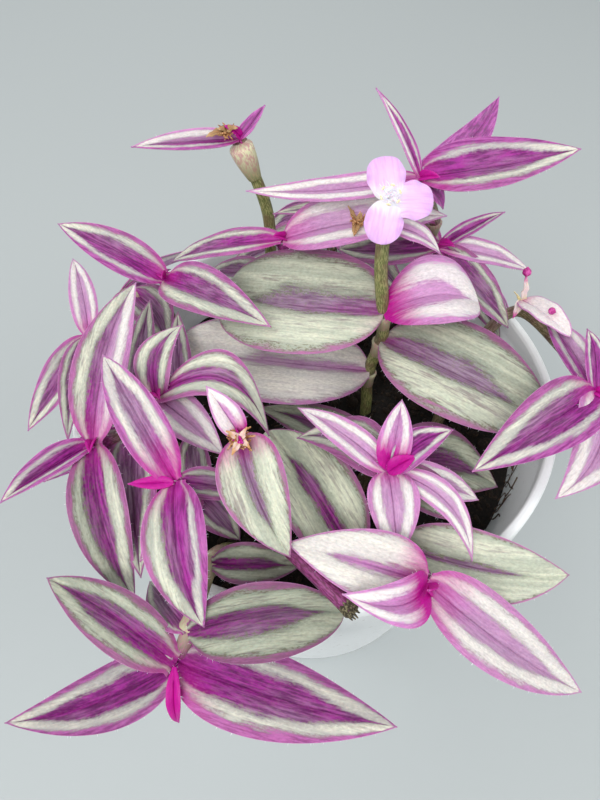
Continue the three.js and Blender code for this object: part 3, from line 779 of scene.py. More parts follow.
@dataclass(frozen=True)
class StemSkin:
    """Living stem: olive green, speckled, flushed purple pink or pale where it is young or swollen."""

    olive: str = "646b3a"
    straw: str = "9c9a66"
    brown: str = "6b5040"
    plum: str = "6a1452"
    purple: str = "94317f"
    cream: str = "e2e0b8"
    blush: str = "cf9f9c"
    ribs: float = 6.0
    rib_length_mm: float = 1.1
    patch_mm: float = 3.6

    def build(self) -> Material:
        """Builds the stem's skin from its attribute stalk (how swollen, how purple and how pale it is).

        Returns:
            The material. Its smooth skin has fine dark and light flecks, drawn out along the stem.
        """
        material, tree = new_material("living_stem_skin")
        stalk = parts_of(tree, {"stalk": "swollen purple pale"})
        turn = add(tree, ATTRIBUTE, settings={"attribute_name": "turn"}).outputs["Vector"]
        run = add(tree, ATTRIBUTE, settings={"attribute_name": "run"}).outputs["Fac"]
        length = add(tree, MATH, (run, self.rib_length_mm * MM), OVER)
        aside = add(tree, VECTOR_MATH, {"Vector": turn, "Scale": self.ribs}, SCALED)
        place = add(tree, VECTOR_MATH, (aside, add(tree, JOIN, {"Z": length})), PLUS)
        fleck = add(tree, NOISE, {"Scale": 1.0, "Detail": 3.0, "Vector": place})
        place = add(tree, COORDINATES).outputs["Object"]
        patch = add(tree, NOISE, {"Vector": place, "Scale": 1 / (self.patch_mm * MM), "Detail": 1.0})
        fine = add(tree, RANGE, ramp(fleck, 0.42, 0.62), SMOOTH)
        green = add(tree, MIX, blend(fine, self.olive, self.straw), RGBA)
        aged = add(tree, RANGE, ramp(patch, 0.5, 0.7, to=(0.0, 0.6)), SMOOTH)
        woody = add(tree, MIX, blend(aged, green, self.brown), RGBA)
        reddened = add(tree, MATH, (stalk["swollen"], 0.4, stalk["purple"]),
                       {"operation": "MULTIPLY_ADD", "use_clamp": True})
        red = add(tree, MIX, blend(fine, self.plum, self.purple), RGBA)
        flushed = add(tree, MIX, blend(reddened, woody, red), RGBA)
        light = add(tree, MIX, blend(fine, self.cream, self.blush), RGBA)
        colour = add(tree, MIX, blend(stalk["pale"], flushed, light), RGBA)
        return surfaced(material, colour, 0.45, fleck, (0.3, 0.2), (0.1, 0.8))


@dataclass(frozen=True)
class PetalSkin:
    """Fresh petal: lilac pink, deeper at its rim, paling to white at its foot, finely veined."""

    pink: str = "e8c4ea"
    deep: str = "d8a0e2"
    white: str = "f2eef2"
    vein_mm: tuple[float, float] = (0.5, 5.0)

    def build(self) -> Material:
        """Builds the petal from its own attributes.

        Returns:
            The material. The petal is matt and glows where light comes through it.
        """
        material, tree = new_material("fresh_petal")
        facts = parts_of(tree, {"blade": "edge along half"})
        veins = drawn_out(tree, self.vein_mm)
        line = add(tree, RANGE, ramp(veins, 0.45, 0.7, to=(0.0, 0.4)), SMOOTH)
        outward = add(tree, RANGE, ramp(facts["edge"], 0.35, 1.0, to=(0.0, 0.5)), SMOOTH)
        far = add(tree, RANGE, ramp(facts["along"], 0.5, 1.0, to=(0.0, 0.5)), SMOOTH)
        rim = add(tree, MATH, (outward, far), {"operation": "MAXIMUM"})
        share = add(tree, MATH, (line, rim), PLUS_CLAMPED)
        veined = add(tree, MIX, blend(share, self.pink, self.deep), RGBA)
        wander = add(tree, MATH, (veins, 0.3, facts["along"]), TIMES_PLUS)
        foot = add(tree, RANGE, ramp(wander, 0.25, 0.62, to=(1.0, 0.0)), SMOOTH)
        colour = add(tree, MIX, blend(foot, veined, self.white), RGBA)
        return surfaced(material, colour, 0.6, veins, (0.35, 0.2), (0.15, 0.6), ior=1.4)


@dataclass(frozen=True)
class WitheredSepal:
    """A sepal of a spent flower, papery, its colour changing from foot to tip."""

    name: str
    foot: str
    body: str
    tip: str
    fleck: str
    streak_mm: tuple[float, float] = (0.35, 2.5)

    def build(self) -> Material:
        """Builds the sepal from its own attributes.

        Returns:
            The material. The papery skin is streaked along the sepal and lets some light through.
        """
        material, tree = new_material(self.name)
        along = parts_of(tree, {"blade": "edge along half"})["along"]
        streaks = drawn_out(tree, self.streak_mm, 3.0)
        ragged = add(tree, MATH, (streaks, 0.5, along), TIMES_PLUS)
        opened = add(tree, RANGE, ramp(ragged, 0.3, 0.6), SMOOTH)
        lower = add(tree, MIX, blend(opened, self.foot, self.body), RGBA)
        ended = add(tree, RANGE, ramp(ragged, 0.9, 1.2), SMOOTH)
        whole = add(tree, MIX, blend(ended, lower, self.tip), RGBA)
        specks = add(tree, RANGE, ramp(streaks, 0.55, 0.7, to=(0.0, 0.8)), SMOOTH)
        colour = add(tree, MIX, blend(specks, whole, self.fleck), RGBA)
        return surfaced(material, colour, 0.65, streaks, (0.5, 0.2), (0.15, 0.5), ior=1.4)


@dataclass(frozen=True)
class SpeckledFinish:
    """A matt natural surface of two colours mixed in specks, such as potting mix or a withered sepal."""

    name: str
    base: str
    fleck: str
    speck_mm: float
    fleck_from: float = 0.5
    fleck_to: float = 0.65
    roughness: float = 0.9
    relief_mm: float = 0.3
    glow: float = 0.0

    def build(self) -> Material:
        """Builds the speckled surface.

        Returns:
            The material, whose specks also give it its relief.
        """
        material, tree = new_material(self.name)
        place = add(tree, COORDINATES).outputs["Object"]
        specks = add(tree, NOISE,
                     {"Vector": place, "Scale": 1 / (self.speck_mm * MM), "Detail": 4.0, "Roughness": 0.65})
        share = add(tree, RANGE, ramp(specks, self.fleck_from, self.fleck_to), SMOOTH)
        colour = add(tree, MIX, blend(share, self.base, self.fleck), RGBA)
        return surfaced(material, colour, self.roughness, specks, (0.6, self.relief_mm), (self.glow, 0.5))


@dataclass(frozen=True)
class MouldedPolypropylene:
    """White polypropylene, injection moulded: slightly glossy, faintly rippled, dusted with soil inside."""

    white: str = "f5f8f9"
    grime: str = "a39c90"
    ripple_mm: float = 14.0
    dust_mm: float = 1.6

    def build(self, soil_top: float, rim_top: float) -> Material:
        """Builds the pot's plastic.

        Args:
            soil_top: The soil's height in metres, above which the dust thins out.
            rim_top: The rim's height in metres.

        Returns:
            The material. Broad soft highlights follow the wall, light comes through it, and dust clings low.
        """
        material, tree = new_material("moulded_white_polypropylene")
        place = add(tree, COORDINATES).outputs["Object"]
        height = add(tree, SPLIT, (place,)).outputs["Z"]
        dust = add(tree, NOISE,
                   {"Vector": place, "Scale": 1 / (self.dust_mm * MM), "Detail": 5.0, "Roughness": 0.7})
        broad = add(tree, NOISE, {"Vector": place, "Scale": 1 / (self.ripple_mm * MM), "Detail": 1.0})
        specks = add(tree, RANGE, ramp(dust, 0.6, 0.72), SMOOTH)
        low = add(tree, RANGE, ramp(height, soil_top, rim_top, to=(0.6, 0.06)))
        dusty = add(tree, MATH, (specks, low), TIMES)
        colour = add(tree, MIX, blend(dusty, self.white, self.grime), RGBA)
        rough = add(tree, RANGE, ramp(dust, to=(0.28, 0.46)))
        return surfaced(material, colour, rough, broad, (0.15, 0.4), (0.6, 3.0), ior=1.49,
                        further={"Subsurface Radius": (1.0, 1.0, 1.0)})


# Cream pink, browned at both ends
BLUSHED_SEPAL = WitheredSepal("blushed_sepal", "b8743f", "e6c8bc", "cf9a66", "d9ab78")
# Tan to brown all over, dry
TAN_SEPAL = WitheredSepal("tan_sepal", "6b4526", "a8835a", "c4a277", "56381f")
# Cream, ending in hot pink
FRESH_SEPAL = WitheredSepal("fresh_sepal", "ece4c4", "efdcda", "cf3b98", "f6eccf")
# Tangled tan remains of petals
DRY_PETAL = SpeckledFinish("withered_petal", "8f5730", "d6a774", 0.5, 0.42, 0.6, 0.7, 0.15)
# Yellow stamens that outlast the petals
DRY_STAMEN = SpeckledFinish("withered_stamen", "e6cf8a", "f4e9c2", 0.6, 0.42, 0.6, 0.7, 0.1)
# Hot pink flower bud, still closed
CLOSED_BUD = SpeckledFinish("closed_flower_bud", "b01f80", "dc5fae", 0.6, 0.4, 0.65, 0.5, 0.1, 0.1)
# Peat and bark, nearly black when damp
PEAT = SpeckledFinish("damp_potting_mix", "15110d", "2d231a", 0.9, 0.5, 0.7, 0.95, 0.5)
# Dry bits of bark and root in the mix
BARK = SpeckledFinish("bark_crumb", "211811", "4a3826", 0.7, 0.5, 0.7, 0.9, 0.35)
# Dry fibrous root
ROOT = SpeckledFinish("dry_root_fibre", "2c2018", "5f4a36", 1.2, 0.4, 0.65, 0.85, 0.1)
# The torn dark end of a cut stem
CUT_END = SpeckledFinish("dried_cut_end", "3a3226", "7d7458", 0.5, 0.45, 0.6, 0.95, 0.3)
# Clear hairs that read as pale lines
HAIR = SpeckledFinish("clear_plant_hair", "f4e6f2", "ffffff", 0.5, 0.4, 0.6, 0.5, 0.02, 0.2)
# Pale pollen on the anthers
POLLEN = SpeckledFinish("pollen", "f7efd2", "ead9a4", 0.25, 0.45, 0.6, 0.8, 0.05)


# The plant's lines and blades


@dataclass(frozen=True)
class Sight:
    """The place the plant is looked at from, in millimetres, and its picture, measured in pixels."""

    eye: tuple[float, float, float] = (-3.7, -108.1, 219.0)
    tilt: float = math.radians(51.3)
    focal_pixels: float = 660.0
    centre_u: float = 300.0
    centre_v: float = 400.0

    def seen(self, u: float, v: float, height: float) -> Vector:
        """The point at a given height that is seen at column u, row v.

        Args:
            u: Pixel column.
            v: Pixel row.
            height: The point's height in millimetres.

        Returns:
            The point in millimetres.
        """
        across = (u - self.centre_u) / self.focal_pixels
        rise = (self.centre_v - v) / self.focal_pixels
        ray = Vector((
            across,
            math.cos(self.tilt) + rise * math.sin(self.tilt),
            rise * math.cos(self.tilt) - math.sin(self.tilt),
        ))
        eye = Vector(self.eye)
        return eye + ray * ((height - eye.z) / ray.z)


SIGHT = Sight()
seen = SIGHT.seen


def at(x: float, y: float, z: float) -> Vector:
    """A point or direction."""
    return Vector((x, y, z))


FACE_UP = at(0, -0.3, 1)
FACE_BACK = at(0, 0.8, 0.6)
FACE_EYE = at(0, -0.62, 0.78).normalized()


@dataclass(frozen=True)
class Tint:
    """How silver, green and pale a leaf is, how hot pink its foot is, and how dull and vivid it is."""

    silver: float
    green: float
    pale: float
    hot: float
    # How much the leaf is darkened: age on old leaves, and painted shade on leaves that lie in shade
    dull: float
    vivid: float


class LeafLook(Enum):
    """The leaves' ages and states, with painted shade on the leaves that lie in shade."""

    STRIPED = Tint(0.24, 0.45, 0.0, 0.6, 0.04, 0.6)
    VIVID = Tint(0.14, 0.15, 0.0, 0.45, 0.2, 0.95)
    DEEP = Tint(0.26, 0.3, 0.0, 0.3, 0.48, 1.0)
    BARE = Tint(-1.0, 0.0, 0.1, 0.5, 0.0, 1.0)
    SOFT = Tint(0.34, 0.35, 0.5, 0.6, 0.0, 0.3)
    STREAKED = Tint(0.4, 0.5, 0.45, 0.6, 0.0, 0.1)
    FROSTED = Tint(0.38, 0.2, 0.12, 0.9, 0.06, 0.25)
    YOUNG = Tint(0.3, 0.05, 0.5, 1.6, 0.0, 1.0)
    BLUSHED = Tint(0.45, 0.1, 0.6, 1.1, 0.0, 0.9)
    PEARLY = Tint(1.3, 0.1, 0.6, 0.6, 0.0, 0.3)
    SILVER = Tint(0.85, 0.5, 0.35, 0.8, 0.0, 0.8)
    RIPE = Tint(0.46, 0.65, 0.0, 0.5, 0.06, 0.7)
    MOTTLED = Tint(0.8, 0.9, 0.0, 0.4, 0.0, 0.8)
    GREYED = Tint(0.77, 0.85, 0.05, 0.6, 0.03, 0.0)
    OLD = Tint(0.8, 0.95, 0.1, 0.15, 0.04, 0.0)
    GREENED = Tint(0.98, 0.95, 0.1, 0.15, 0.04, 0.0)
    CREAMY = Tint(0.92, 0.5, 0.35, 0.15, 0.0, 0.0)
    # Old and browned, and on the half that faces away from the light darkened as painted shade
    BROWNED_AND_SHADED = Tint(0.66, 0.85, 0.0, 0.2, 0.46, 0.0)
    FADED = Tint(0.34, 0.8, 0.0, 0.5, 0.5, 0.75)
    # Old and dull, and darkened as painted shade for leaves that lie in shade
    WORN_AND_SHADED = Tint(0.5, 0.9, 0.0, 0.1, 0.7, 0.6)
    # Darkened as painted shade, for leaves that lie deep among the others
    SHADED = Tint(0.2, 0.6, 0.0, 0.3, 0.3, 0.4)
    BUD = Tint(-1.0, 0.0, 0.1, 4.5, 0.0, 1.0)


def fullness(s: float, round_: float, point: float) -> float:
    """Half the width of a blade against its fullest half width.

    Args:
        s: The part of the blade's length, from foot to tip.
        round_: How round the foot end is.
        point: How pointed the tip end is.

    Returns:
        The share, from 0 to 1.
    """
    widest = round_ / (round_ + point)
    fullest = widest ** round_ * (1 - widest) ** point
    return s ** round_ * max(1 - s, 0) ** point / fullest


@dataclass(frozen=True)
class Blade:
    """A leaf, petal or sepal: a thin blade from foot to tip, bowed up by arch and aside by sway.

    Its halves are cupped, meet in a soft crease and wave a little at the margin. Its right half, seen from
    the foot, has a look of its own where right names one.
    """

    foot: Vector
    tip: Vector
    width: float
    arch: float = 3.0
    sway: float = 0.0
    cup: float = 22.0
    roll: float = 0.0
    round: float = 0.5
    point: float = 0.95
    facing: Vector = FACE_UP
    foot_half: float = 1.3
    tip_half: float = 0.14
    core: float = 0.36
    edge: float = 0.14
    ruffle: float = 0.12
    pillow: float = 0.12
    steps: int = 30
    columns: int = 12
    bare_tip: int = 5
    waves: float = 2.5
    waves_apart: float = 1.7
    crease: float = 0.1
    thinning: float = 0.45
    look: LeafLook = LeafLook.STRIPED
    right: LeafLook | None = None

    def draw(self, draft: Draft, rng: random.Random) -> None:
        """Adds the blade to a draft, its upper side as skin 0 and its lower side as skin 1.

        Args:
            draft: The mesh being drawn.
            rng: The draws for what differs from leaf to leaf.
        """
        span = self.tip - self.foot
        along = span.normalized()
        up = (self.facing - along * self.facing.dot(along)).normalized()
        up.rotate(Quaternion(along, math.radians(self.roll)))
        side = along.cross(up)
        cup = math.radians(self.cup)
        phase = rng.uniform(0, 2 * math.pi)
        lift = rng.uniform(0.85, 1.15)
        shift = Vector((rng.uniform(0, 1), rng.uniform(0, 1), rng.uniform(0, 9)))
        base = len(draft.places)
        grid = []
        halves = []
        for i in range(self.steps + 1):
            s = 0.5 - 0.5 * math.cos(math.pi * i / self.steps)
            least = lerp(self.foot_half, self.tip_half, min(1.0, s * 3))
            half = max(self.width / 2 * fullness(s, self.round, self.point), least)
            bow = 4 * s * (1 - s)
            halves.append((s, half))
            for k in range(self.columns + 1):
                a = 2 * k / self.columns - 1
                bent = math.sqrt(a * a + self.crease ** 2) - self.crease
                turn = 2 * math.pi * self.waves * s + phase + (self.waves_apart if a > 0 else 0)
                wave = self.ruffle * a * a * math.sin(turn)
                bulge = self.pillow * half * 4 * abs(a) * (1 - abs(a)) * lift
                grid.append(self.foot + span * s
                            + up * (self.arch * bow + half * bent * math.sin(cup) + bulge + wave * bow)
                            + side * (self.sway * bow + half * a * math.cos(cup)))
        width = self.columns + 1
        normals = self._normals(grid, width, up)
        for sign in (1, -1):
            for n, place in enumerate(grid):
                a = 2 * (n % width) / self.columns - 1
                s, _ = halves[n // width]
                taper = 1 - self.thinning * s
                depth = lerp(self.core, self.edge, a * a) * taper
                draft.places.append(place + normals[n] * (sign * depth))
        self._mark(draft, halves, shift, span.length)
        self._close(draft, base, width)

    def _normals(self, grid: list[Vector], width: int, up: Vector) -> list[Vector]:
        """The sheet's direction at each of its points.

        Args:
            grid: The sheet's points, row by row.
            width: The points in a row.
            up: The side that counts as upper.

        Returns:
            One unit direction for each point.
        """
        rows = len(grid) // width
        found = []
        for n in range(len(grid)):
            row, column = divmod(n, width)
            above, below = (min(row + 1, rows - 1) * width, max(row - 1, 0) * width)
            first, last = (row * width + max(column - 1, 0), row * width + min(column + 1, width - 1))
            lengthwise = grid[above + column] - grid[below + column]
            normal = (grid[last] - grid[first]).cross(lengthwise).normalized()
            found.append(normal if normal.dot(up) > 0 else -normal)
        return found

    def _mark(self, draft: Draft, halves: list[tuple[float, float]], shift: Vector, length: float) -> None:
        """Writes the attributes that the pattern follows.

        Args:
            draft: The mesh being drawn.
            halves: The part of the length and the half width of each row.
            shift: How far the leaf's grain is shifted.
            length: The leaf's length.
        """
        looks = [astuple(look.value) for look in (self.look, self.right or self.look)]
        for _ in range(2):
            for s, half in halves:
                for k in range(self.columns + 1):
                    a = 2 * k / self.columns - 1
                    share = min(max(0.5 + 2 * a, 0.0), 1.0)
                    mixed = [lerp(left, right, share) for left, right in zip(*looks)]
                    draft.marks.setdefault("blade", []).append((abs(a), s, half * MM))
                    draft.marks.setdefault("tint", []).append(tuple(mixed[:3]))
                    draft.marks.setdefault("mood", []).append(tuple(mixed[3:]))
                    draft.marks.setdefault("grain", []).append(
                        (shift.x + half * a * MM, shift.y + length * s * MM, shift.z))

    def _close(self, draft: Draft, base: int, width: int) -> None:
        """Adds the faces of both sides and of the rim between them.

        Args:
            draft: The mesh being drawn.
            base: The number of the blade's first point.
            width: The points in a row.
        """
        lower = base + (self.steps + 1) * width
        for row in range(self.steps):
            for column in range(self.columns):
                a = row * width + column
                corners = (a, a + 1, a + width + 1, a + width)
                draft.faces.append(tuple(base + c for c in corners))
                draft.skins.append(0)
                draft.faces.append(tuple(lower + c for c in reversed(corners)))
                draft.skins.append(0 if self.look is LeafLook.BUD else 1)
        rim = list(range(0, width))
        rim += [row * width + width - 1 for row in range(1, self.steps + 1)]
        rim += list(range(self.steps * width + width - 2, self.steps * width - 1, -1))
        rim += [row * width for row in range(self.steps - 1, 0, -1)]
        for here, after in zip(rim, rim[1:] + rim[:1]):
            face = (base + after, base + here, lower + here, lower + after)
            draft.faces.append(face)
            draft.skins.append(0)
            if max(here, after) < (self.steps - self.bare_tip) * width:
                draft.rims.append(face)


def smooth_line(points: list[Vector], steps: int) -> list[Vector]:
    """A smooth curve through points, as a centripetal Catmull-Rom spline.

    Args:
        points: The points that the curve goes through.
        steps: The pieces between two points.

    Returns:
        The points along the curve.
    """
    before = points[0] * 2 - points[1]
    after = points[-1] * 2 - points[-2]
    chain = [before, *points, after]
    line = []
    for p0, p1, p2, p3 in zip(chain, chain[1:], chain[2:], chain[3:]):
        d0, d1, d2 = (max((b - a).length, 1e-4) ** 0.5 for a, b in ((p0, p1), (p1, p2), (p2, p3)))
        t1 = ((p1 - p0) / d0 - (p2 - p0) / (d0 + d1) + (p2 - p1) / d1) * d1
        t2 = ((p2 - p1) / d1 - (p3 - p1) / (d1 + d2) + (p3 - p2) / d2) * d1
        for k in range(steps):
            t = k / steps
            line.append(p1 + t1 * t + (p1 * -3 + p2 * 3 - t1 * 2 - t2) * t ** 2
                        + (p1 * 2 - p2 * 2 + t1 + t2) * t ** 3)
    line.append(points[-1].copy())
    return line


# Leaves of the plant, shoot by shoot


@dataclass(frozen=True)
class Leaf:
    """A leaf of a shoot: the stem point it grows from, its tip, width, look and bend."""

    node: int
    tip: Vector
    width: float
    look: LeafLook = LeafLook.STRIPED
    bend: dict = field(default_factory=dict)


def leaf(node: int, tip: Vector, width: float, look: LeafLook = LeafLook.STRIPED, **bend: object) -> Leaf:
    """A leaf whose bend is given by name."""
    return Leaf(node, tip, width, look, bend)


@dataclass(frozen=True)
class Shoot:
    """A leafy stem: where it stands in the soil, the line of its stem and its leaves."""

    name: str
    root: tuple[float, float]
    line: list[Vector]
    leaves: list[Leaf]
    flush: float = 0.25
    paleness: float = 0.0
    facing: Vector = FACE_UP
    sheath: tuple[Vector, Vector, float] | None = None
    pedicel: Vector | None = None


(PLAIN, VIVID, DEEP, BARE, SOFT, STREAKED, FROSTED, YOUNG, BLUSHED, PEARLY, SILVER, RIPE, MOTTLED, GREYED,
 OLD, GREENED, CREAMY, BROWNED_AND_SHADED, FADED, WORN_AND_SHADED, SHADED, BUD) = LeafLook

BLOOM_CENTRE = seen(388, 201, 139)
PETAL_TIPS = [seen(383, 157, 145), seen(433, 203, 139), seen(379, 244, 134)]
BLOOM_BACK = BLOOM_CENTRE - FACE_EYE * 0.95

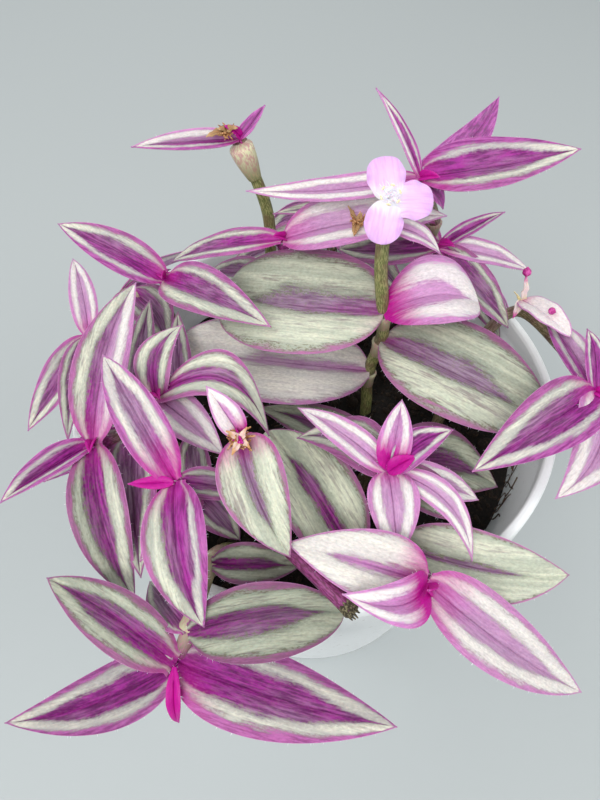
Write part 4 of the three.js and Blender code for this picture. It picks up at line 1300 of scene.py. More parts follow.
SHOOTS = [
    Shoot("stem_back_left_bloom", (-14, 24), [at(-12, 31, 98), seen(268, 214, 116), seen(244, 152, 133),
        seen(240, 142, 135)], [
        leaf(3, seen(131, 147, 134), 6.5, VIVID, right=SOFT, arch=0.5, cup=40, roll=-25),
        leaf(3, seen(265, 105, 143), 4, BARE, arch=-0.5, cup=30),
        leaf(0, seen(204, 278, 88), 11, SHADED, arch=2),
    ], flush=0.0, sheath=(seen(241, 147, 134.2), seen(255, 178, 126.5), 3)),
    Shoot("stem_back_left_pair", (-36, 22), [seen(165, 303, 91), seen(168, 281, 103)], [
        leaf(1, seen(58, 224, 111), 11.5, VIVID, right=PLAIN, arch=2.5, roll=-10),
        leaf(1, seen(271, 327, 114), 14, PLAIN, right=RIPE, arch=2, roll=10)]),
    Shoot("stem_far_left", (-40, 4), [at(-50, 6, 96), seen(92, 338, 98)], [
        leaf(1, seen(73, 259, 104), 7.5, SOFT, arch=2, sway=1),
        leaf(1, seen(28, 431, 88), 10.5, PLAIN, sway=-1.5),
        leaf(1, seen(68, 442, 93), 8, SHADED, arch=4)]),
    Shoot("stem_left", (-34, -12), [at(-42, -18, 94), seen(96, 444, 100)], [
        leaf(1, seen(136, 283, 110), 13.5, RIPE, right=SOFT, arch=4, sway=-1),
        leaf(1, seen(0, 503, 96), 10, VIVID, arch=1, cup=50),
        leaf(1, seen(135, 600, 80), 13, RIPE, right=FADED, arch=8, sway=0.5),
        leaf(0, seen(44, 482, 90), 8, VIVID),
        leaf(0, seen(141, 578, 90), 13, SHADED, arch=4),
        leaf(0, seen(150, 300, 99), 9, SHADED, arch=2)]),
    Shoot("stem_left_front", (-24, -26), [at(-26, -34, 94), seen(177, 481, 112)], [
        leaf(1, seen(103, 355, 118), 10, FROSTED),
        leaf(1, seen(204, 627, 98), 12.5, VIVID, right=RIPE, arch=5, sway=1.5),
        leaf(1, seen(128, 484, 113), 3, BUD, arch=0, cup=30, clasp=3),
        leaf(1, seen(240, 494, 103), 7, SHADED, arch=2),
        leaf(0, seen(193, 427, 102), 8.5, SHADED, arch=2),
        leaf(0, seen(240, 540, 90), 9, SHADED),
        leaf(0, seen(140, 562, 97), 9, SHADED, arch=2)]),
    Shoot("stem_middle_left", (-30, -4), [at(-32, -12, 92), seen(159, 398, 107)], [
        leaf(1, seen(269, 436, 104), 12, RIPE, arch=6, sway=-7),
        leaf(1, seen(224, 455, 103), 10, SOFT, arch=2),
        leaf(1, seen(183, 325, 116), 9, RIPE, arch=2, sway=-2.6),
        leaf(0, seen(178, 312, 102), 8, SHADED, arch=2)]),
    Shoot("stem_middle_bloom", (-16, -20), [at(-17, -30, 98), seen(241, 436, 118)], [
        leaf(1, seen(290, 557, 105), 13.5, GREYED, sway=1.5, round=0.4),
        leaf(1, seen(206, 386, 126), 6.5, PEARLY, right=BLUSHED, arch=1, cup=35)]),
    Shoot("stem_back_middle", (-6, 12), [at(-8, 24, 97), at(-8, 29.5, 107), seen(284, 242, 117)], [
        leaf(2, seen(447, 216, 126), 16, SOFT, arch=2.5),
        leaf(2, seen(172, 262, 99), 9.2, PLAIN, sway=-1.3)]),
    Shoot("stem_centre_bloom", (14.5, 4.7), [seen(368, 372, 88), seen(381, 342, 100), seen(383, 315, 110),
           seen(381, 270, 122), seen(384, 228, 131)], [
        leaf(2, seen(225, 297, 103), 30, GREENED, right=BROWNED_AND_SHADED, arch=4, sway=-3, cup=14, round=0.35,
             point=0.42),
        leaf(0, seen(172, 350, 95), 25, CREAMY, arch=4, sway=-2.2, cup=14, point=0.55),
        leaf(1, seen(548, 425, 95), 26, BROWNED_AND_SHADED, right=OLD, arch=5, sway=1.5, cup=14, point=0.65),
        leaf(2, seen(478, 304, 112), 19, BLUSHED, arch=6, point=0.5),
        leaf(4, seen(440, 254, 125), 6, SOFT, arch=2),
    ], flush=0.0, pedicel=BLOOM_BACK),
    Shoot("stem_back_right", (24, 22), [at(28, 28, 104), seen(433, 222, 118), seen(418, 181, 135)], [
        leaf(2, seen(376, 88, 150), 4, SOFT, right=VIVID, arch=1.5, cup=35),
        leaf(2, seen(581, 149, 138), 14.5, VIVID, right=PLAIN, arch=-1, roll=5),
        leaf(2, seen(499, 97, 132), 9.5, BARE, arch=-2, sway=2, cup=12, clasp=0.4),
        leaf(2, seen(246, 191, 127), 7, SOFT, arch=0, sway=-1.5, roll=-15),
        leaf(2, seen(443, 209, 129), 6, BARE, arch=1),
        leaf(1, seen(273, 214, 118), 9, SHADED)]),
    Shoot("stem_right_back_small", (28, 11), [at(30, 16, 98), seen(437, 250, 116)], [
        leaf(1, seen(505, 212, 120), 5, VIVID, arch=1, cup=35),
        leaf(1, seen(530, 272, 107), 8, SOFT, arch=2),
        leaf(1, seen(338, 249, 108), 12, SHADED, arch=1, sway=-2),
        leaf(1, seen(508, 328, 99), 11, SHADED, sway=1.5)]),
    Shoot("stem_right", (34, 0), [seen(488, 331, 94), seen(518, 311, 97), seen(562, 348, 98),
        seen(592, 392, 103)], [
        leaf(3, seen(472, 472, 102), 15.5, VIVID, right=PLAIN, sway=-0.6),
        leaf(3, seen(555, 499, 94), 14, SOFT, sway=-4),
        leaf(3, seen(545, 316, 101), 9.5, VIVID, right=SOFT, arch=1),
        leaf(3, seen(587, 329, 109), 6, VIVID, arch=2)]),
    Shoot("stem_middle", (12, -20), [at(14, -25, 90), seen(387, 471, 105)], [
        leaf(1, seen(402, 400, 113), 7.5, YOUNG, arch=2),
        leaf(1, seen(417, 456, 110), 4.6, BUD, arch=1, cup=40, clasp=2.6),
        leaf(1, seen(298, 408, 109), 7, SOFT),
        leaf(1, seen(453, 430, 110), 7.5, VIVID, arch=2, sway=-1),
        leaf(1, seen(397, 560, 100.5), 11, SOFT, arch=2),
        leaf(1, seen(472, 561, 97), 6.5, SOFT, sway=-3.5),
        leaf(1, seen(478, 500, 95), 8, SOFT, arch=2),
        leaf(1, seen(464, 520, 96), 9.5, WORN_AND_SHADED, arch=1.5),
        leaf(1, seen(297, 438, 101), 12, SHADED, arch=-1, sway=4),
        leaf(0, seen(497, 487, 86), 19, WORN_AND_SHADED, sway=-2.5),
        leaf(0, seen(258, 408, 80), 13, WORN_AND_SHADED, arch=-0.5, sway=3)]),
    Shoot("stem_front_silver", (5, -41), [seen(354, 562, 90)], [
        leaf(0, seen(266, 432, 97), 19, MOTTLED, arch=2, sway=1.2, point=0.65)]),
    Shoot("stem_trimmed", (-12, -36), [seen(284, 545, 100), seen(352, 611, 102.3)], [], flush=0.9),
    Shoot("stem_right_front", (15, -36), [at(17, -45, 92), seen(424, 580, 101)], [
        leaf(1, seen(287, 543, 105.4), 14, SILVER, arch=1.3, cup=12, round=0.4),
        leaf(1, seen(342, 594, 108), 10, YOUNG, arch=2.5, sway=-3.5, cup=30),
        leaf(1, seen(581, 692, 74), 14.5, STREAKED, arch=2, sway=1.8, round=0.4),
        leaf(0, seen(569, 575, 88), 16, GREENED, arch=4, sway=2.8)]),
    Shoot("stem_front_left", (-18, -40), [at(-21, -52, 98), seen(190, 628, 93), seen(178, 660, 88)], [
        leaf(2, seen(47, 578, 90), 12.5, FADED, foot_half=3, sway=1),
        leaf(2, seen(5, 723, 76), 13, DEEP, foot_half=2.4, arch=-1.5, sway=-2, round=0.4),
        leaf(2, seen(397, 727, 76), 17.2, DEEP, right=PLAIN, foot_half=3.6, clasp=0.8, arch=1, sway=1,
             round=0.4),
        leaf(2, seen(179, 722, 82), 3.6, BUD, cup=40, clasp=3.2),
        leaf(1, seen(344, 612, 94.8), 17, WORN_AND_SHADED, arch=2.9, sway=-3, point=0.6, facing=at(0, -0.8, 0.7)),
        leaf(0, seen(300, 566, 90), 9, WORN_AND_SHADED, arch=0.6),
        leaf(1, seen(150, 582, 84), 8, SHADED, arch=1),
    ], flush=0.1, paleness=0.4),
    Shoot("stem_trailing_back", (4, 34), [at(6, 50, 98), at(8, 67, 92), at(9, 76, 74), at(10, 80, 54)], [
        leaf(0, at(-26, 44, 90), 12, SHADED, facing=FACE_UP),
        leaf(0, at(27, 33, 89), 12, SHADED, facing=FACE_UP),
        leaf(1, at(-16, 88, 70), 14, PLAIN),
        leaf(2, at(38, 88, 62), 14, SOFT),
        leaf(3, at(-20, 96, 36), 13, PLAIN),
        leaf(3, at(34, 98, 34), 12, SOFT),
        leaf(3, at(8, 92, 22), 9, YOUNG),
        leaf(1, at(34, 84, 68), 13, SOFT),
        leaf(2, at(-24, 94, 52), 13, VIVID),
    ], facing=FACE_BACK),
    Shoot("stem_trailing_back_right", (28, 32), [at(34, 40, 98), at(41, 51, 88), at(45, 56, 68)], [
        leaf(0, at(24, 62, 97), 10, PLAIN, facing=FACE_UP),
        leaf(1, at(64, 38, 66), 13, SOFT),
        leaf(2, at(70, 40, 46), 14, PLAIN),
        leaf(2, at(36, 80, 44), 13, VIVID),
        leaf(2, at(58, 62, 34), 10, YOUNG),
        leaf(1, at(26, 74, 76), 12, SOFT),
        leaf(0, at(52, 20, 86), 11, SHADED, facing=FACE_UP),
    ], facing=at(0.6, 0.5, 0.6)),
    Shoot("stem_trailing_back_left", (-42, 15), [at(-49, 26, 96.4), at(-56, 35, 86), at(-58, 39, 66)], [
        leaf(0, seen(168, 346, 91), 13, SHADED, arch=1, sway=-2, facing=FACE_UP),
        leaf(1, at(-36, 64, 66), 13, PLAIN),
        leaf(2, at(-78, 26, 50), 14, SOFT),
        leaf(2, at(-44, 68, 42), 13, PLAIN),
        leaf(2, at(-66, 50, 34), 10, VIVID),
        leaf(1, at(-30, 60, 84), 11, SOFT),
    ], facing=at(-0.5, 0.6, 0.6)),
]


@dataclass(frozen=True)
class SpentHead:
    """A spent flower head: its middle, its sepals, closed buds and bract, each with place and width."""

    name: str
    centre: Vector
    sepals: list[tuple[Vector, float]]
    sepal: WitheredSepal
    wisp: SpeckledFinish = DRY_PETAL
    wisps: int = 12
    buds: tuple[tuple[Vector, float], ...] = ()
    bract: tuple[Vector, float] | None = None


SPENT_HEADS = [
    SpentHead("spent_bloom_middle", seen(241, 441, 120.9), [
        (seen(226, 431, 124), 1.5), (seen(232, 455, 122.4), 1.6), (seen(250, 448, 122.6), 1.4),
        (seen(247, 427, 124), 1.3)], BLUSHED_SEPAL, wisps=26),
    SpentHead("spent_bloom_back_left", seen(226, 133, 138.5), [
        (seen(206, 137, 138.4), 2.2), (seen(217, 129, 140), 2), (seen(238, 128, 140), 2.2)],
        TAN_SEPAL, wisps=16),
    SpentHead("spent_bloom_centre", seen(357, 224, 126.6), [
        (seen(354, 236, 125.4), 2), (seen(362, 213, 128), 1.6), (seen(348, 206, 127.6), 1)],
        TAN_SEPAL, wisps=18),
    SpentHead("spent_bloom_right", seen(521, 301, 101.1), [
        (seen(526, 274, 110.5), 2.2), (seen(513, 318, 102.2), 2.4)], FRESH_SEPAL, wisp=DRY_STAMEN, wisps=9,
        buds=((seen(527, 272, 111), 1.1), (seen(552, 311, 106.8), 0.9)), bract=(seen(570, 337, 105.6), 8)),
]


# Sub-assemblies


@dataclass
class Foliage:
    """The leafy stems: every shoot's stem, sheaths and leaves."""

    tubes: Recipe
    hairs: Recipe
    leaf_skins: list[Material]
    stem_radius: float = 1.7
    clasp: float = 1.7
    widest_foot: float = 2.3
    bud_length: float = 5.0
    bud_width: float = 3.6
    root_depth: float = 12.0
    pedicel_radius: float = 0.8
    sheath_length: float = 5.0
    sheath_flare: float = 2.35
    dome: tuple[tuple[float, float], ...] = ((0.5, 0.9), (0.9, 0.65), (1.15, 0.3))
    stem_steps: int = 8
    between_nodes: float = 0.9
    swelling: float = 0.22
    foot_share: float = 0.18
    node_reach: float = 1.8
    flush_reach: float = 6.0
    fibre_count: int = 11
    hairs_per_mm2: float = 1.4
    hair_length: float = 0.65
    # Real hairs are half as thick, and are drawn as thick as they need to be to show
    hair_radius: float = 0.04
    seed: int = 11

    def build(self) -> None:
        """Builds every shoot."""
        skin, hair = StemSkin().build(), HAIR.build()
        rng = random.Random(self.seed)
        for shoot in SHOOTS:
            stem = self._stem(shoot, skin, rng)
            if shoot.leaves:
                leaves, rims = self._leaves(shoot, rng)
                settle(leaves, "foliage", shoot.name)
                settle(self._rim_hairs(shoot, rims, hair), "foliage")
                settle(stem, "foliage")
            else:
                settle(stem, "foliage", shoot.name)
                settle(self._cut_end(shoot, rng), "foliage")

    def _cut_end(self, shoot: Shoot, rng: random.Random) -> Object:
        """Builds the dried stub and torn fibres at the end of a cut stem.

        Args:
            shoot: The cut shoot.
            rng: The draws for the fibres' places.

        Returns:
            The piece.
        """
        end = shoot.line[-1]
        onward = (end - shoot.line[-2]).normalized()
        aside = onward.orthogonal().normalized()
        fibres = Draft()
        fibres.run([end - onward * 2.5, end - onward * 0.2, end + onward * 0.3, end + onward * 0.5],
                   [self.stem_radius * share for share in (0.9, 1.04, 0.8, 0.4)])
        for k in range(self.fibre_count):
            around = aside.copy()
            around.rotate(Quaternion(onward, 2 * math.pi * k / self.fibre_count))
            start = end + around * self.stem_radius * rng.uniform(0.3, 0.8)
            tip = start + onward * rng.uniform(0.6, 1.4) + around * rng.uniform(-0.3, 0.5)
            middle = start.lerp(tip, 0.5) + aside * rng.uniform(-0.1, 0.1)
            fibres.run([start, middle, tip], [0.32, 0.22, 0.1])
        name = shoot.name.replace("stem_", "cut_end_")
        return self.tubes.grow(fibres, name, {"Sides": 10, "Material": CUT_END.build()})

    def _round_off(self, line: list[Vector], radii: list[float], marks: list[Mark]) -> None:
        """Rounds and reddens the end of a stem, where the youngest leaves clasp it.

        Args:
            line: The stem's line, which is changed, as the other two are.
            radii: The radius at each of its points.
            marks: The mark at each of its points.
        """
        onward = (line[-1] - line[-2]).normalized()
        end = line[-1] - onward * self.dome[-1][0]
        line[-1] = end
        for ahead, share in self.dome:
            line.append(end + onward * ahead)
            radii.append(self.stem_radius * share)
            marks.append((1.0, 0.8, 0.0))

    def _points(self, shoot: Shoot) -> list[Vector]:
        """The points that a shoot's stem goes through, from its root up."""
        x, y = shoot.root
        return [at(x, y, SOIL_LEVEL - self.root_depth), at(x, y, SOIL_LEVEL - self.root_depth / 3),
                at(x, y, SOIL_LEVEL + 3), *shoot.line]

    def _leaves(self, shoot: Shoot, rng: random.Random) -> tuple[Object, Draft]:
        """Builds the leaves of a shoot and the bud in their midst as one piece.

        Args:
            shoot: The shoot.
            rng: The draws for what differs from leaf to leaf.

        Returns:
            The piece, and the narrow rims of its leaves.
        """
        draft = Draft()
        front = FACE_EYE if shoot.facing == FACE_UP else shoot.facing.normalized()
        for item in shoot.leaves:
            foot_half = min(self.widest_foot, item.width * self.foot_share)
            bend = {"facing": shoot.facing, "foot_half": foot_half, **item.bend}
            foot = shoot.line[item.node] + front * bend.pop("clasp", self.clasp)
            Blade(foot=foot, tip=item.tip, width=item.width, look=item.look, **bend).draw(draft, rng)
        if not shoot.pedicel and not any(item.look is BUD for item in shoot.leaves):
            foot = shoot.line[-1] + front * self.clasp
            lean = at(rng.uniform(-1, 1), rng.uniform(-1, 0.2), rng.uniform(-0.2, 0.6))
            Blade(foot=foot - front, tip=foot + (front * 0.6 + lean).normalized() * self.bud_length,
                  width=self.bud_width, arch=0.8, cup=48, roll=rng.uniform(-60, 60), facing=front, point=0.7,
                  foot_half=1.5, steps=14, columns=8, look=BUD).draw(draft, rng)
        name = shoot.name.replace("stem_", "leaves_")
        return draft.place(name, self.leaf_skins), Draft(draft.places, draft.rims)

    def _rim_hairs(self, shoot: Shoot, rims: Draft, hair: Material) -> Object:
        """Grows the fine hairs that fringe the leaves of a shoot."""
        return self.hairs.grow(rims, shoot.name.replace("stem_", "fringe_"), {
            "Density": self.hairs_per_mm2 / MM ** 2, "Length": self.hair_length * MM,
            "Radius": self.hair_radius * MM, "Lean": 0.3, "Seed": self.seed, "Material": hair})

    def _stem(self, shoot: Shoot, skin: Material, rng: random.Random) -> Object:
        """Builds a shoot's stem with its swollen nodes and the sheaths round them.

        Args:
            shoot: The shoot.
            skin: The stem's finish.
            rng: The draws for what differs from stem to stem.

        Returns:
            The piece.
        """
        lines = Draft()
        points = self._points(shoot)
        line = smooth_line(points, self.stem_steps)
        numbers = sorted({item.node for item in shoot.leaves})
        nodes = [shoot.line[k] for k in numbers]
        swell = [nearness(p, nodes, self.node_reach) for p in line]
        pale = [shoot.paleness * nearness(p, nodes[:-1], 2 * self.node_reach) for p in line]
        youngest = [] if shoot.pedicel or shoot.sheath else shoot.line[-1:]
        flush = [max(shoot.flush, nearness(p, youngest, self.flush_reach)) for p in line]
        radii = [self.stem_radius * (self.between_nodes + self.swelling * w) for w in swell]
        marks = list(zip(swell, flush, pale))
        if not shoot.pedicel and shoot.leaves:
            self._round_off(line, radii, marks)
        lines.run(line, radii, marks)
        for number, node in list(zip(numbers, nodes))[:-1]:
            reached = (len(points) - len(shoot.line) + number) * self.stem_steps + 1
            below = [p for p in line[:reached] if (p - node).length < self.sheath_length]
            if len(below) > 2:
                count = len(below) - 1
                shares = [k / count for k in range(count + 1)]
                flare = [lerp(self.stem_radius, self.sheath_flare, share ** 1.6) for share in shares]
                marks = [(0.6, shoot.flush, lerp(0.1, 0.6, share)) for share in shares]
                onward = (below[-1] - below[-2]).normalized()
                lip = [below[-1] + onward * reach for reach in (0.3, 0.5)]
                lines.run(below + lip, flare + [self.sheath_flare * 0.93, self.stem_radius * 0.95],
                          marks + marks[-1:] * 2)
        if shoot.sheath:
            top, bottom, radius = shoot.sheath
            shares = [k / self.stem_steps for k in range(self.stem_steps + 1)]
            onward = (top - bottom).normalized()
            lip = [top + onward * ahead for ahead, _ in self.dome]
            lines.run([bottom.lerp(top, share) for share in shares] + lip,
                      [lerp(self.stem_radius, radius, math.sin(math.pi / 2 * share)) for share in shares]
                      + [radius * share for _, share in self.dome],
                      [(0.0, 0.0, lerp(0.1, 1.0, share)) for share in shares] + [(0.5, 0.3, 0.7)] * len(lip))
        if shoot.pedicel:
            stalk = [shoot.line[-1].lerp(shoot.pedicel, k / 6) for k in range(7)]
            lines.run(stalk, [self.pedicel_radius] * 7, [(0.1, 0.2, 0.2)] * 7)
        name = shoot.name.replace("stem_", "stalk_")
        return self.tubes.grow(lines, name, {"Sides": 14, "Material": skin})


@dataclass
class OpenFlower:
    """The open flower: three rounded petals and a tuft of white hairs, filaments and anthers."""

    tubes: Recipe
    petal_width: float = 8.0
    hub_radius: float = 0.9
    filament_length: float = 3.2
    filament_radius: float = 0.22
    filament_count: int = 6
    anther_radius: float = 0.6
    hairs_each: int = 13
    seed: int = 5

    def build(self) -> None:
        """Builds the petals, filaments, anthers and hairs."""
        rng = random.Random(self.seed)
        draft = Draft()
        for tip in PETAL_TIPS:
            Blade(foot=BLOOM_CENTRE, tip=tip, width=self.petal_width, arch=0.7, cup=8, point=0.4,
                  facing=FACE_EYE, foot_half=1.5, tip_half=0.5, core=0.3, ruffle=0.6, pillow=0.09,
                  columns=20, steps=28).draw(draft, rng)
        petal = PetalSkin().build()
        settle(draft.place("petals", [petal, petal]), "petal", "bloom_petals")
        self._stamens(rng)

    def _stamens(self, rng: random.Random) -> None:
        """Builds the filaments with their hairs, and the anthers.

        Args:
            rng: The draws for the hairs' places.
        """
        middle = BLOOM_CENTRE + FACE_EYE * (self.hub_radius + 0.8)
        threads = Draft()
        pollen = Draft()
        for k in range(self.filament_count):
            angle = 2 * math.pi * (k + 0.3) / self.filament_count
            spread = at(math.cos(angle), 0.78 * math.sin(angle), 0.62 * math.sin(angle))
            end = middle + spread * 0.62 * self.filament_length + FACE_EYE * 0.75 * self.filament_length
            bent = smooth_line([middle - FACE_EYE * 0.6, middle.lerp(end, 0.5) + FACE_EYE * 0.3, end], 5)
            threads.run(bent, [self.filament_radius] * len(bent))
            lobe = spread.cross(FACE_EYE).normalized() * self.anther_radius
            pollen.run([end - lobe * 0.8, end - lobe * 0.4, end + lobe * 0.4, end + lobe * 0.8],
                       [0.12, 0.25, 0.25, 0.12])
            self._beard(threads, bent, rng)
        hair = HAIR.build()
        filaments = self.tubes.grow(threads, "filaments", {"Sides": 6, "Material": hair})
        anthers = self.tubes.grow(pollen, "anthers", {"Sides": 8, "Material": POLLEN.build()})
        settle(filaments, "stamen", "bloom_stamens")
        settle(anthers, "stamen")

    def _beard(self, threads: Draft, bent: list[Vector], rng: random.Random) -> None:
        """Adds the fine hairs round one filament.

        Args:
            threads: The lines being drawn.
            bent: The filament's own line.
            rng: The draws for the hairs' places.
        """
        for _ in range(self.hairs_each):
            start = bent[rng.randrange(1, len(bent) - 2)]
            way = at(rng.uniform(-1, 1), rng.uniform(-1, 1), rng.uniform(-0.2, 1)).normalized()
            reach = rng.uniform(1.0, 2.3)
            threads.run([start, start + way * reach * 0.5 + FACE_EYE * 0.15, start + way * reach],
                        [0.06, 0.05, 0.03])


@dataclass
class SpentHeads:
    """The spent flower heads: withered sepals round a tangle of dry petals."""

    tubes: Recipe
    leaf_skins: list[Material]
    knot_radius: float = 1.5
    thread: float = 0.24
    seed: int = 3

    def build(self) -> None:
        """Builds every spent head."""
        rng = random.Random(self.seed)
        for head in SPENT_HEADS:
            draft = Draft()
            for tip, width in head.sepals:
                Blade(foot=head.centre, tip=tip, width=width, arch=0.4, cup=25, foot_half=0.7, ruffle=0.35,
                      core=0.28, steps=16, columns=10).draw(draft, rng)
            name = head.name.replace("bloom", "sepals")
            skin = head.sepal.build()
            settle(draft.place(name, [skin, skin]), "spent", head.name)
            settle(self._tangle(head, rng), "spent")
            if head.bract:
                settle(self._bract(head, rng), "foliage")
                settle(self._buds(head), "petal")

    def _bract(self, head: SpentHead, rng: random.Random) -> Object:
        """Builds the broad pale bract under a head.

        Args:
            head: The spent head.
            rng: The draws for the bract's form.

        Returns:
            The piece.
        """
        tip, width = head.bract
        draft = Draft()
        Blade(foot=head.centre, tip=tip, width=width, arch=1.2, cup=20, round=0.45, point=0.6, foot_half=0.8,
              core=0.3, ruffle=0.3, steps=20, look=PEARLY).draw(draft, rng)
        name = head.name.replace("bloom", "bract")
        return draft.place(name, self.leaf_skins)

    def _buds(self, head: SpentHead) -> Object:
        """Builds the closed buds of a head, each an egg that narrows to a point.

        Args:
            head: The spent head.

        Returns:
            The piece.
        """
        eggs = Draft()
        for middle, radius in head.buds:
            way = (middle - head.centre).normalized() * radius
            eggs.run([middle + way * ahead for ahead in (-1, -0.8, -0.3, 0.3, 0.9, 1.5)],
                     [radius * share for share in (0.3, 0.65, 1.0, 0.95, 0.55, 0.12)])
        name = head.name.replace("bloom", "buds")
        return self.tubes.grow(eggs, name, {"Sides": 16, "Material": CLOSED_BUD.build()})

    def _tangle(self, head: SpentHead, rng: random.Random) -> Object:
        """Builds the twisted remains of the petals and stamens.

        Args:
            head: The spent head.
            rng: The draws for the threads' places.

        Returns:
            The piece.
        """
        threads = Draft()
        for _ in range(head.wisps):
            way = at(rng.uniform(-1, 1), rng.uniform(-1, 1), rng.uniform(-0.3, 0.8)).normalized()
            turn = at(rng.uniform(-1, 1), rng.uniform(-1, 1), rng.uniform(-0.4, 0.4)) * 0.9
            tip = head.centre + way * self.knot_radius * rng.uniform(1.0, 2.2)
            line = smooth_line([head.centre - way * 0.4, head.centre + way * 0.8 + turn, tip], 4)
            radii = [lerp(1.6, 0.5, k / (len(line) - 1)) * self.thread * rng.uniform(0.7, 1.3)
                     for k in range(len(line))]
            threads.run(line, radii)
        name = head.name.replace("bloom", "tangle")
        return self.tubes.grow(threads, name, {"Sides": 7, "Material": head.wisp.build()})


@dataclass
class Soil:
    """The plug of potting mix with its crumbs, and roots on the pot's wall."""

    tubes: Recipe
    crumbs: Recipe
    level: float = SOIL_LEVEL
    lump_height: float = 1.6
    bottom: float = 3.9
    clearance: float = 0.9
    low_clearance: float = 3.0
    bare_edge: float = 1.2
    crumbs_per_mm2: float = 0.22
    crumb_radii: tuple[float, float] = (0.45, 2.3)
    crumb_relief: float = 0.8
    rings: int = 44
    sectors: int = 120
    fibre_count: int = 26
    seed: int = 21

    def build(self, pot: "Pot") -> None:
        """Builds the plug, the crumbs and the fibres.

        Args:
            pot: The pot that holds the soil.
        """
        top_radius = pot.radius_at(self.level - self.lump_height) - pot.wall - self.clearance
        low_radius = pot.radius_at(self.bottom) - pot.wall - self.low_clearance
        settle(self._plug(top_radius, low_radius).place("potting_mix", [PEAT.build()]), "soil", "soil")
        smallest, largest = self.crumb_radii
        crumbs = self.crumbs.grow(self._surface(top_radius - self.bare_edge), "soil_crumbs", {
            "Density": self.crumbs_per_mm2 / MM ** 2, "Smallest": smallest * MM, "Largest": largest * MM,
            "Roughness": self.crumb_relief * MM, "Seed": self.seed, "Material": BARK.build()})
        settle(crumbs, "soil")
        settle(self._fibres(top_radius), "soil")

    def height(self, x: float, y: float) -> float:
        """How high the soil's surface lies at a place.

        Args:
            x: The place, in millimetres.
            y: The same.

        Returns:
            The height in millimetres.
        """
        broad = math.sin(0.31 * x + 1.3) * math.cos(0.27 * y - 0.4)
        fine = math.sin(0.62 * x - 0.53 * y)
        grit = noise.fractal(at(x, y, 0) * 0.35, 1.0, 2.0, 4)
        return self.level + self.lump_height * (0.6 * broad + 0.4 * fine - 0.5) + 0.5 * grit

    def _ring(self, radius: float) -> list[Vector]:
        """The points of one ring on the soil's surface.

        Args:
            radius: The ring's radius.

        Returns:
            The points in order.
        """
        points = []
        for k in range(self.sectors):
            angle = 2 * math.pi * k / self.sectors
            x, y = radius * math.cos(angle), radius * math.sin(angle)
            points.append(at(x, y, self.height(x, y)))
        return points

    def _surface(self, radius: float) -> Draft:
        """The soil's surface.

        Args:
            radius: How far out it reaches.

        Returns:
            The surface's draft.
        """
        draft = Draft([at(0, 0, self.height(0, 0))])
        for r in range(1, self.rings + 1):
            draft.places += self._ring(radius * r / self.rings)
        self._web(draft)
        return draft

    def _web(self, draft: Draft) -> None:
        """Adds the faces of the surface's rings, from its middle out.

        Args:
            draft: The surface's draft, which holds its points.
        """
        count = self.sectors
        for k in range(count):
            draft.faces.append((0, 1 + k, 1 + (k + 1) % count))
        for r in range(self.rings - 1):
            for k in range(count):
                a, b = 1 + r * count + k, 1 + r * count + (k + 1) % count
                draft.faces.append((a, a + count, b + count, b))

    def _plug(self, top_radius: float, low_radius: float) -> Draft:
        """The whole closed plug.

        Args:
            top_radius: The radius of its surface.
            low_radius: The radius of its underside.

        Returns:
            The plug's draft.
        """
        draft = self._surface(top_radius)
        count = self.sectors
        edge = 1 + (self.rings - 1) * count
        low = len(draft.places)
        angles = [2 * math.pi * k / count for k in range(count)]
        draft.places += [at(low_radius * math.cos(a), low_radius * math.sin(a), self.bottom) for a in angles]
        draft.places.append(at(0, 0, self.bottom))
        for k in range(count):
            after = (k + 1) % count
            draft.faces.append((edge + k, low + k, low + after, edge + after))
            draft.faces.append((low + count, low + after, low + k))
        return draft

    def _fibres(self, top_radius: float) -> Object:
        """Builds thin dry roots that lie on the soil and cling to the wall above it.

        Args:
            top_radius: The radius of the soil's surface.

        Returns:
            The piece.
        """
        rng = random.Random(self.seed)
        fibres = Draft()
        for k in range(self.fibre_count):
            on_wall = k % 2 == 0
            angle = math.radians(rng.uniform(-34, -12) if on_wall else rng.uniform(0, 360))
            radius = top_radius - 0.4 if on_wall else top_radius * math.sqrt(rng.random()) * 0.9
            line = []
            height = 0.0
            for _ in range(5):
                x, y = radius * math.cos(angle), radius * math.sin(angle)
                line.append(at(x, y, self.height(x, y) + 0.5 + height))
                if on_wall:
                    height += rng.uniform(0.4, 3.0)
                    angle += rng.uniform(-0.05, 0.05)
                    radius = top_radius - 0.2 + 0.21 * height
                else:
                    angle += rng.uniform(-0.08, 0.08)
                    radius = min(radius + rng.uniform(-3.5, 3.5), top_radius - 1)
            smooth = smooth_line(line, 4)
            fibres.run(smooth, [rng.uniform(0.08, 0.22)] * len(smooth))
        return self.tubes.grow(fibres, "root_fibres", {"Sides": 6, "Material": ROOT.build()})


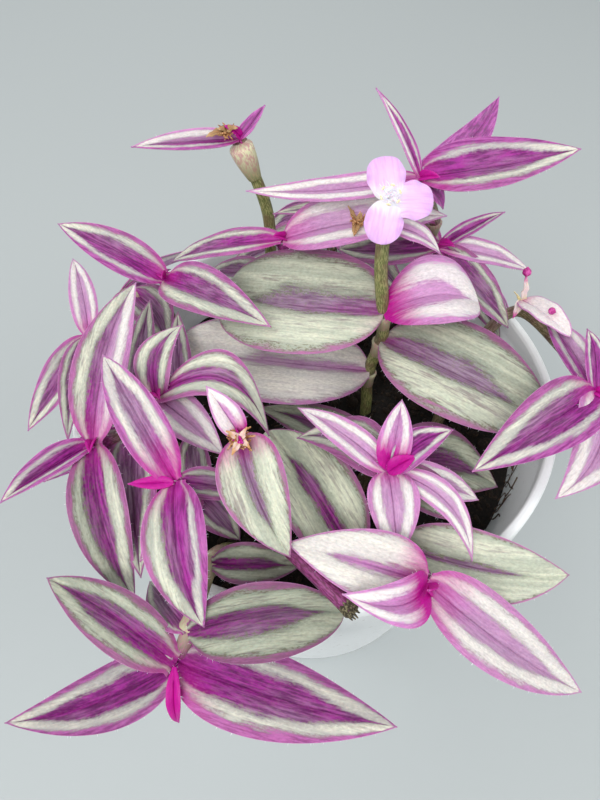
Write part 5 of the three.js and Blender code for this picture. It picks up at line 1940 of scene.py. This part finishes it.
@dataclass
class Pot:
    """The round tapered pot with a rounded lip, a raised floor and drainage holes."""

    turned: Recipe
    rim_radius: float = 60.0
    height: float = 92.0
    base_radius: float = 40.0
    wall: float = 1.8
    lip: float = 2.4
    lip_height: float = 5.0
    lip_overhang: float = 0.8
    floor: float = 2.4
    foot_width: float = 3.0
    foot_height: float = 1.2
    pad_radius: float = 12.0
    hole_radius: float = 2.5
    hole_circle: float = 25.0
    hole_count: int = 6
    drill_length: float = 20.0
    sides: int = 160
    edge_rounding: float = 0.35

    def radius_at(self, height: float) -> float:
        """The outer wall's radius at a height, in millimetres."""
        widening = self.rim_radius - self.lip_overhang - self.base_radius
        return self.base_radius + widening / self.height * height

    def profile(self) -> list[tuple[float, float]]:
        """The pot's half section.

        Returns:
            Radius and height of each point, from the axis under the floor, round the lip, back to the axis.
        """
        lip_bottom = self.height - self.lip_height
        floor_top = self.floor + self.foot_height
        return [
            (0, 0), (self.pad_radius, 0), (self.pad_radius + 1, self.foot_height),
            (self.base_radius - self.foot_width - 1, self.foot_height),
            (self.base_radius - self.foot_width, 0),
            (self.base_radius - 0.6, 0), (self.base_radius, 0.6),
            (self.radius_at(lip_bottom), lip_bottom), (self.rim_radius - 0.2, lip_bottom + 1),
            (self.rim_radius, self.height - 0.8), (self.rim_radius - 0.4, self.height - 0.1),
            (self.rim_radius - self.lip / 2, self.height),
            (self.rim_radius - self.lip + 0.4, self.height - 0.1),
            (self.rim_radius - self.lip, self.height - 0.8), (self.rim_radius - self.lip - 0.3, lip_bottom),
            (self.radius_at(floor_top + 3) - self.wall, floor_top + 3),
            (self.radius_at(floor_top) - self.wall - 2, floor_top), (0, floor_top),
        ]

    def build(self) -> None:
        """Builds the pot."""
        section = Draft()
        places = [at(r, 0, z) for r, z in self.profile()]
        section.run(places, [1.0] * len(places))
        plastic = MouldedPolypropylene().build(SOIL_LEVEL * MM, self.height * MM)
        shell = self.turned.grow(section, "pot_shell", {
            "Sides": self.sides, "Edge Rounding": self.edge_rounding * MM, "Hole Count": self.hole_count,
            "Hole Radius": self.hole_radius * MM, "Hole Circle": self.hole_circle * MM,
            "Hole Depth": self.drill_length * MM, "Material": plastic})
        settle(shell, "pot", "pot")


@dataclass
class Studio:
    """A pale floor, soft daylight from a studio and the camera."""

    lens: float = 29.7
    sensor: float = 36.0
    floor_size: float = 6.0
    floor_colour: str = "b6bbbb"
    sky_colour: str = "f0f5f7"
    sky_strength: float = 0.62
    # Metres above the floor that the lights face
    lit_height: float = 0.09

    def build(self) -> None:
        """Builds the camera, floor and lights."""
        self._camera()
        self._floor()
        self._lamp("key_light", at(-0.2, -0.58, 0.72), size=0.45, power=4.6)
        self._lamp("right_light", at(0.7, -0.2, 0.5), size=0.6, power=2.0)
        self._lamp("left_light", at(-0.6, -0.1, 0.75), size=0.6, power=1.6)
        self._lamp("back_light", at(-0.2, 0.7, 0.6), size=0.6, power=1.2)
        world = bpy.data.worlds.new("soft_daylight")
        world.use_nodes = True
        world.node_tree.nodes.clear()
        sky = add(world.node_tree, "ShaderNodeBackground",
                  {"Color": linear(self.sky_colour), "Strength": self.sky_strength})
        add(world.node_tree, "ShaderNodeOutputWorld", {"Surface": sky})
        bpy.context.scene.world = world
        bpy.context.scene.view_settings.view_transform = "Standard"

    def _camera(self) -> None:
        """Sets the camera at the place the plant is looked at from."""
        data = bpy.data.cameras.new("camera")
        data.lens = self.lens
        data.sensor_width = self.sensor
        data.clip_start = 0.01
        data.clip_end = 20.0
        camera = bpy.data.objects.new("camera", data)
        camera.location = Vector(SIGHT.eye) * MM
        camera.rotation_euler = (math.pi / 2 - SIGHT.tilt, 0, 0)
        bpy.context.scene.collection.objects.link(camera)
        bpy.context.scene.camera = camera

    def _floor(self) -> None:
        """Lays the floor."""
        half = self.floor_size / 2
        mesh = bpy.data.meshes.new("studio_floor")
        corners = [(-half, -half, 0), (half, -half, 0), (half, half, 0), (-half, half, 0)]
        mesh.from_pydata(corners, [], [(0, 1, 2, 3)])
        paper, tree = new_material("matt_studio_paper")
        skin = add(tree, SURFACE, {"Base Color": linear(self.floor_colour), "Roughness": 0.9})
        add(tree, "ShaderNodeOutputMaterial", {"Surface": skin})
        place_mesh(mesh, "studio_floor", [paper])

    def _lamp(self, name: str, place: Vector, size: float, power: float) -> None:
        """Hangs a square soft light that faces the plant.

        Args:
            name: The light's name.
            place: Where it hangs, in metres.
            size: Its side in metres.
            power: Its power in watts.
        """
        data = bpy.data.lights.new(name, "AREA")
        data.size = size
        data.energy = power
        lamp = bpy.data.objects.new(name, data)
        lamp.location = place
        lamp.rotation_euler = (at(0, 0, self.lit_height) - place).to_track_quat("-Z", "Y").to_euler()
        bpy.context.scene.collection.objects.link(lamp)


def main() -> None:
    """Builds the plant, its pot and the studio around the solids."""
    logging.basicConfig(level=logging.INFO, format="%(message)s")
    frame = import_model()
    LOG.info("solids: %d", len(frame["nodes"]))
    Studio().build()
    tubes = tube_recipe()
    leaf_skins = [LeafSkin().build(), LeafUnderside().build()]
    pot = Pot(turned_recipe())
    pot.build()
    Soil(tubes, crumb_recipe()).build(pot)
    Foliage(tubes, hair_recipe(), leaf_skins).build()
    OpenFlower(tubes).build()
    SpentHeads(tubes, leaf_skins).build()


if __name__ == "__main__":
    main()
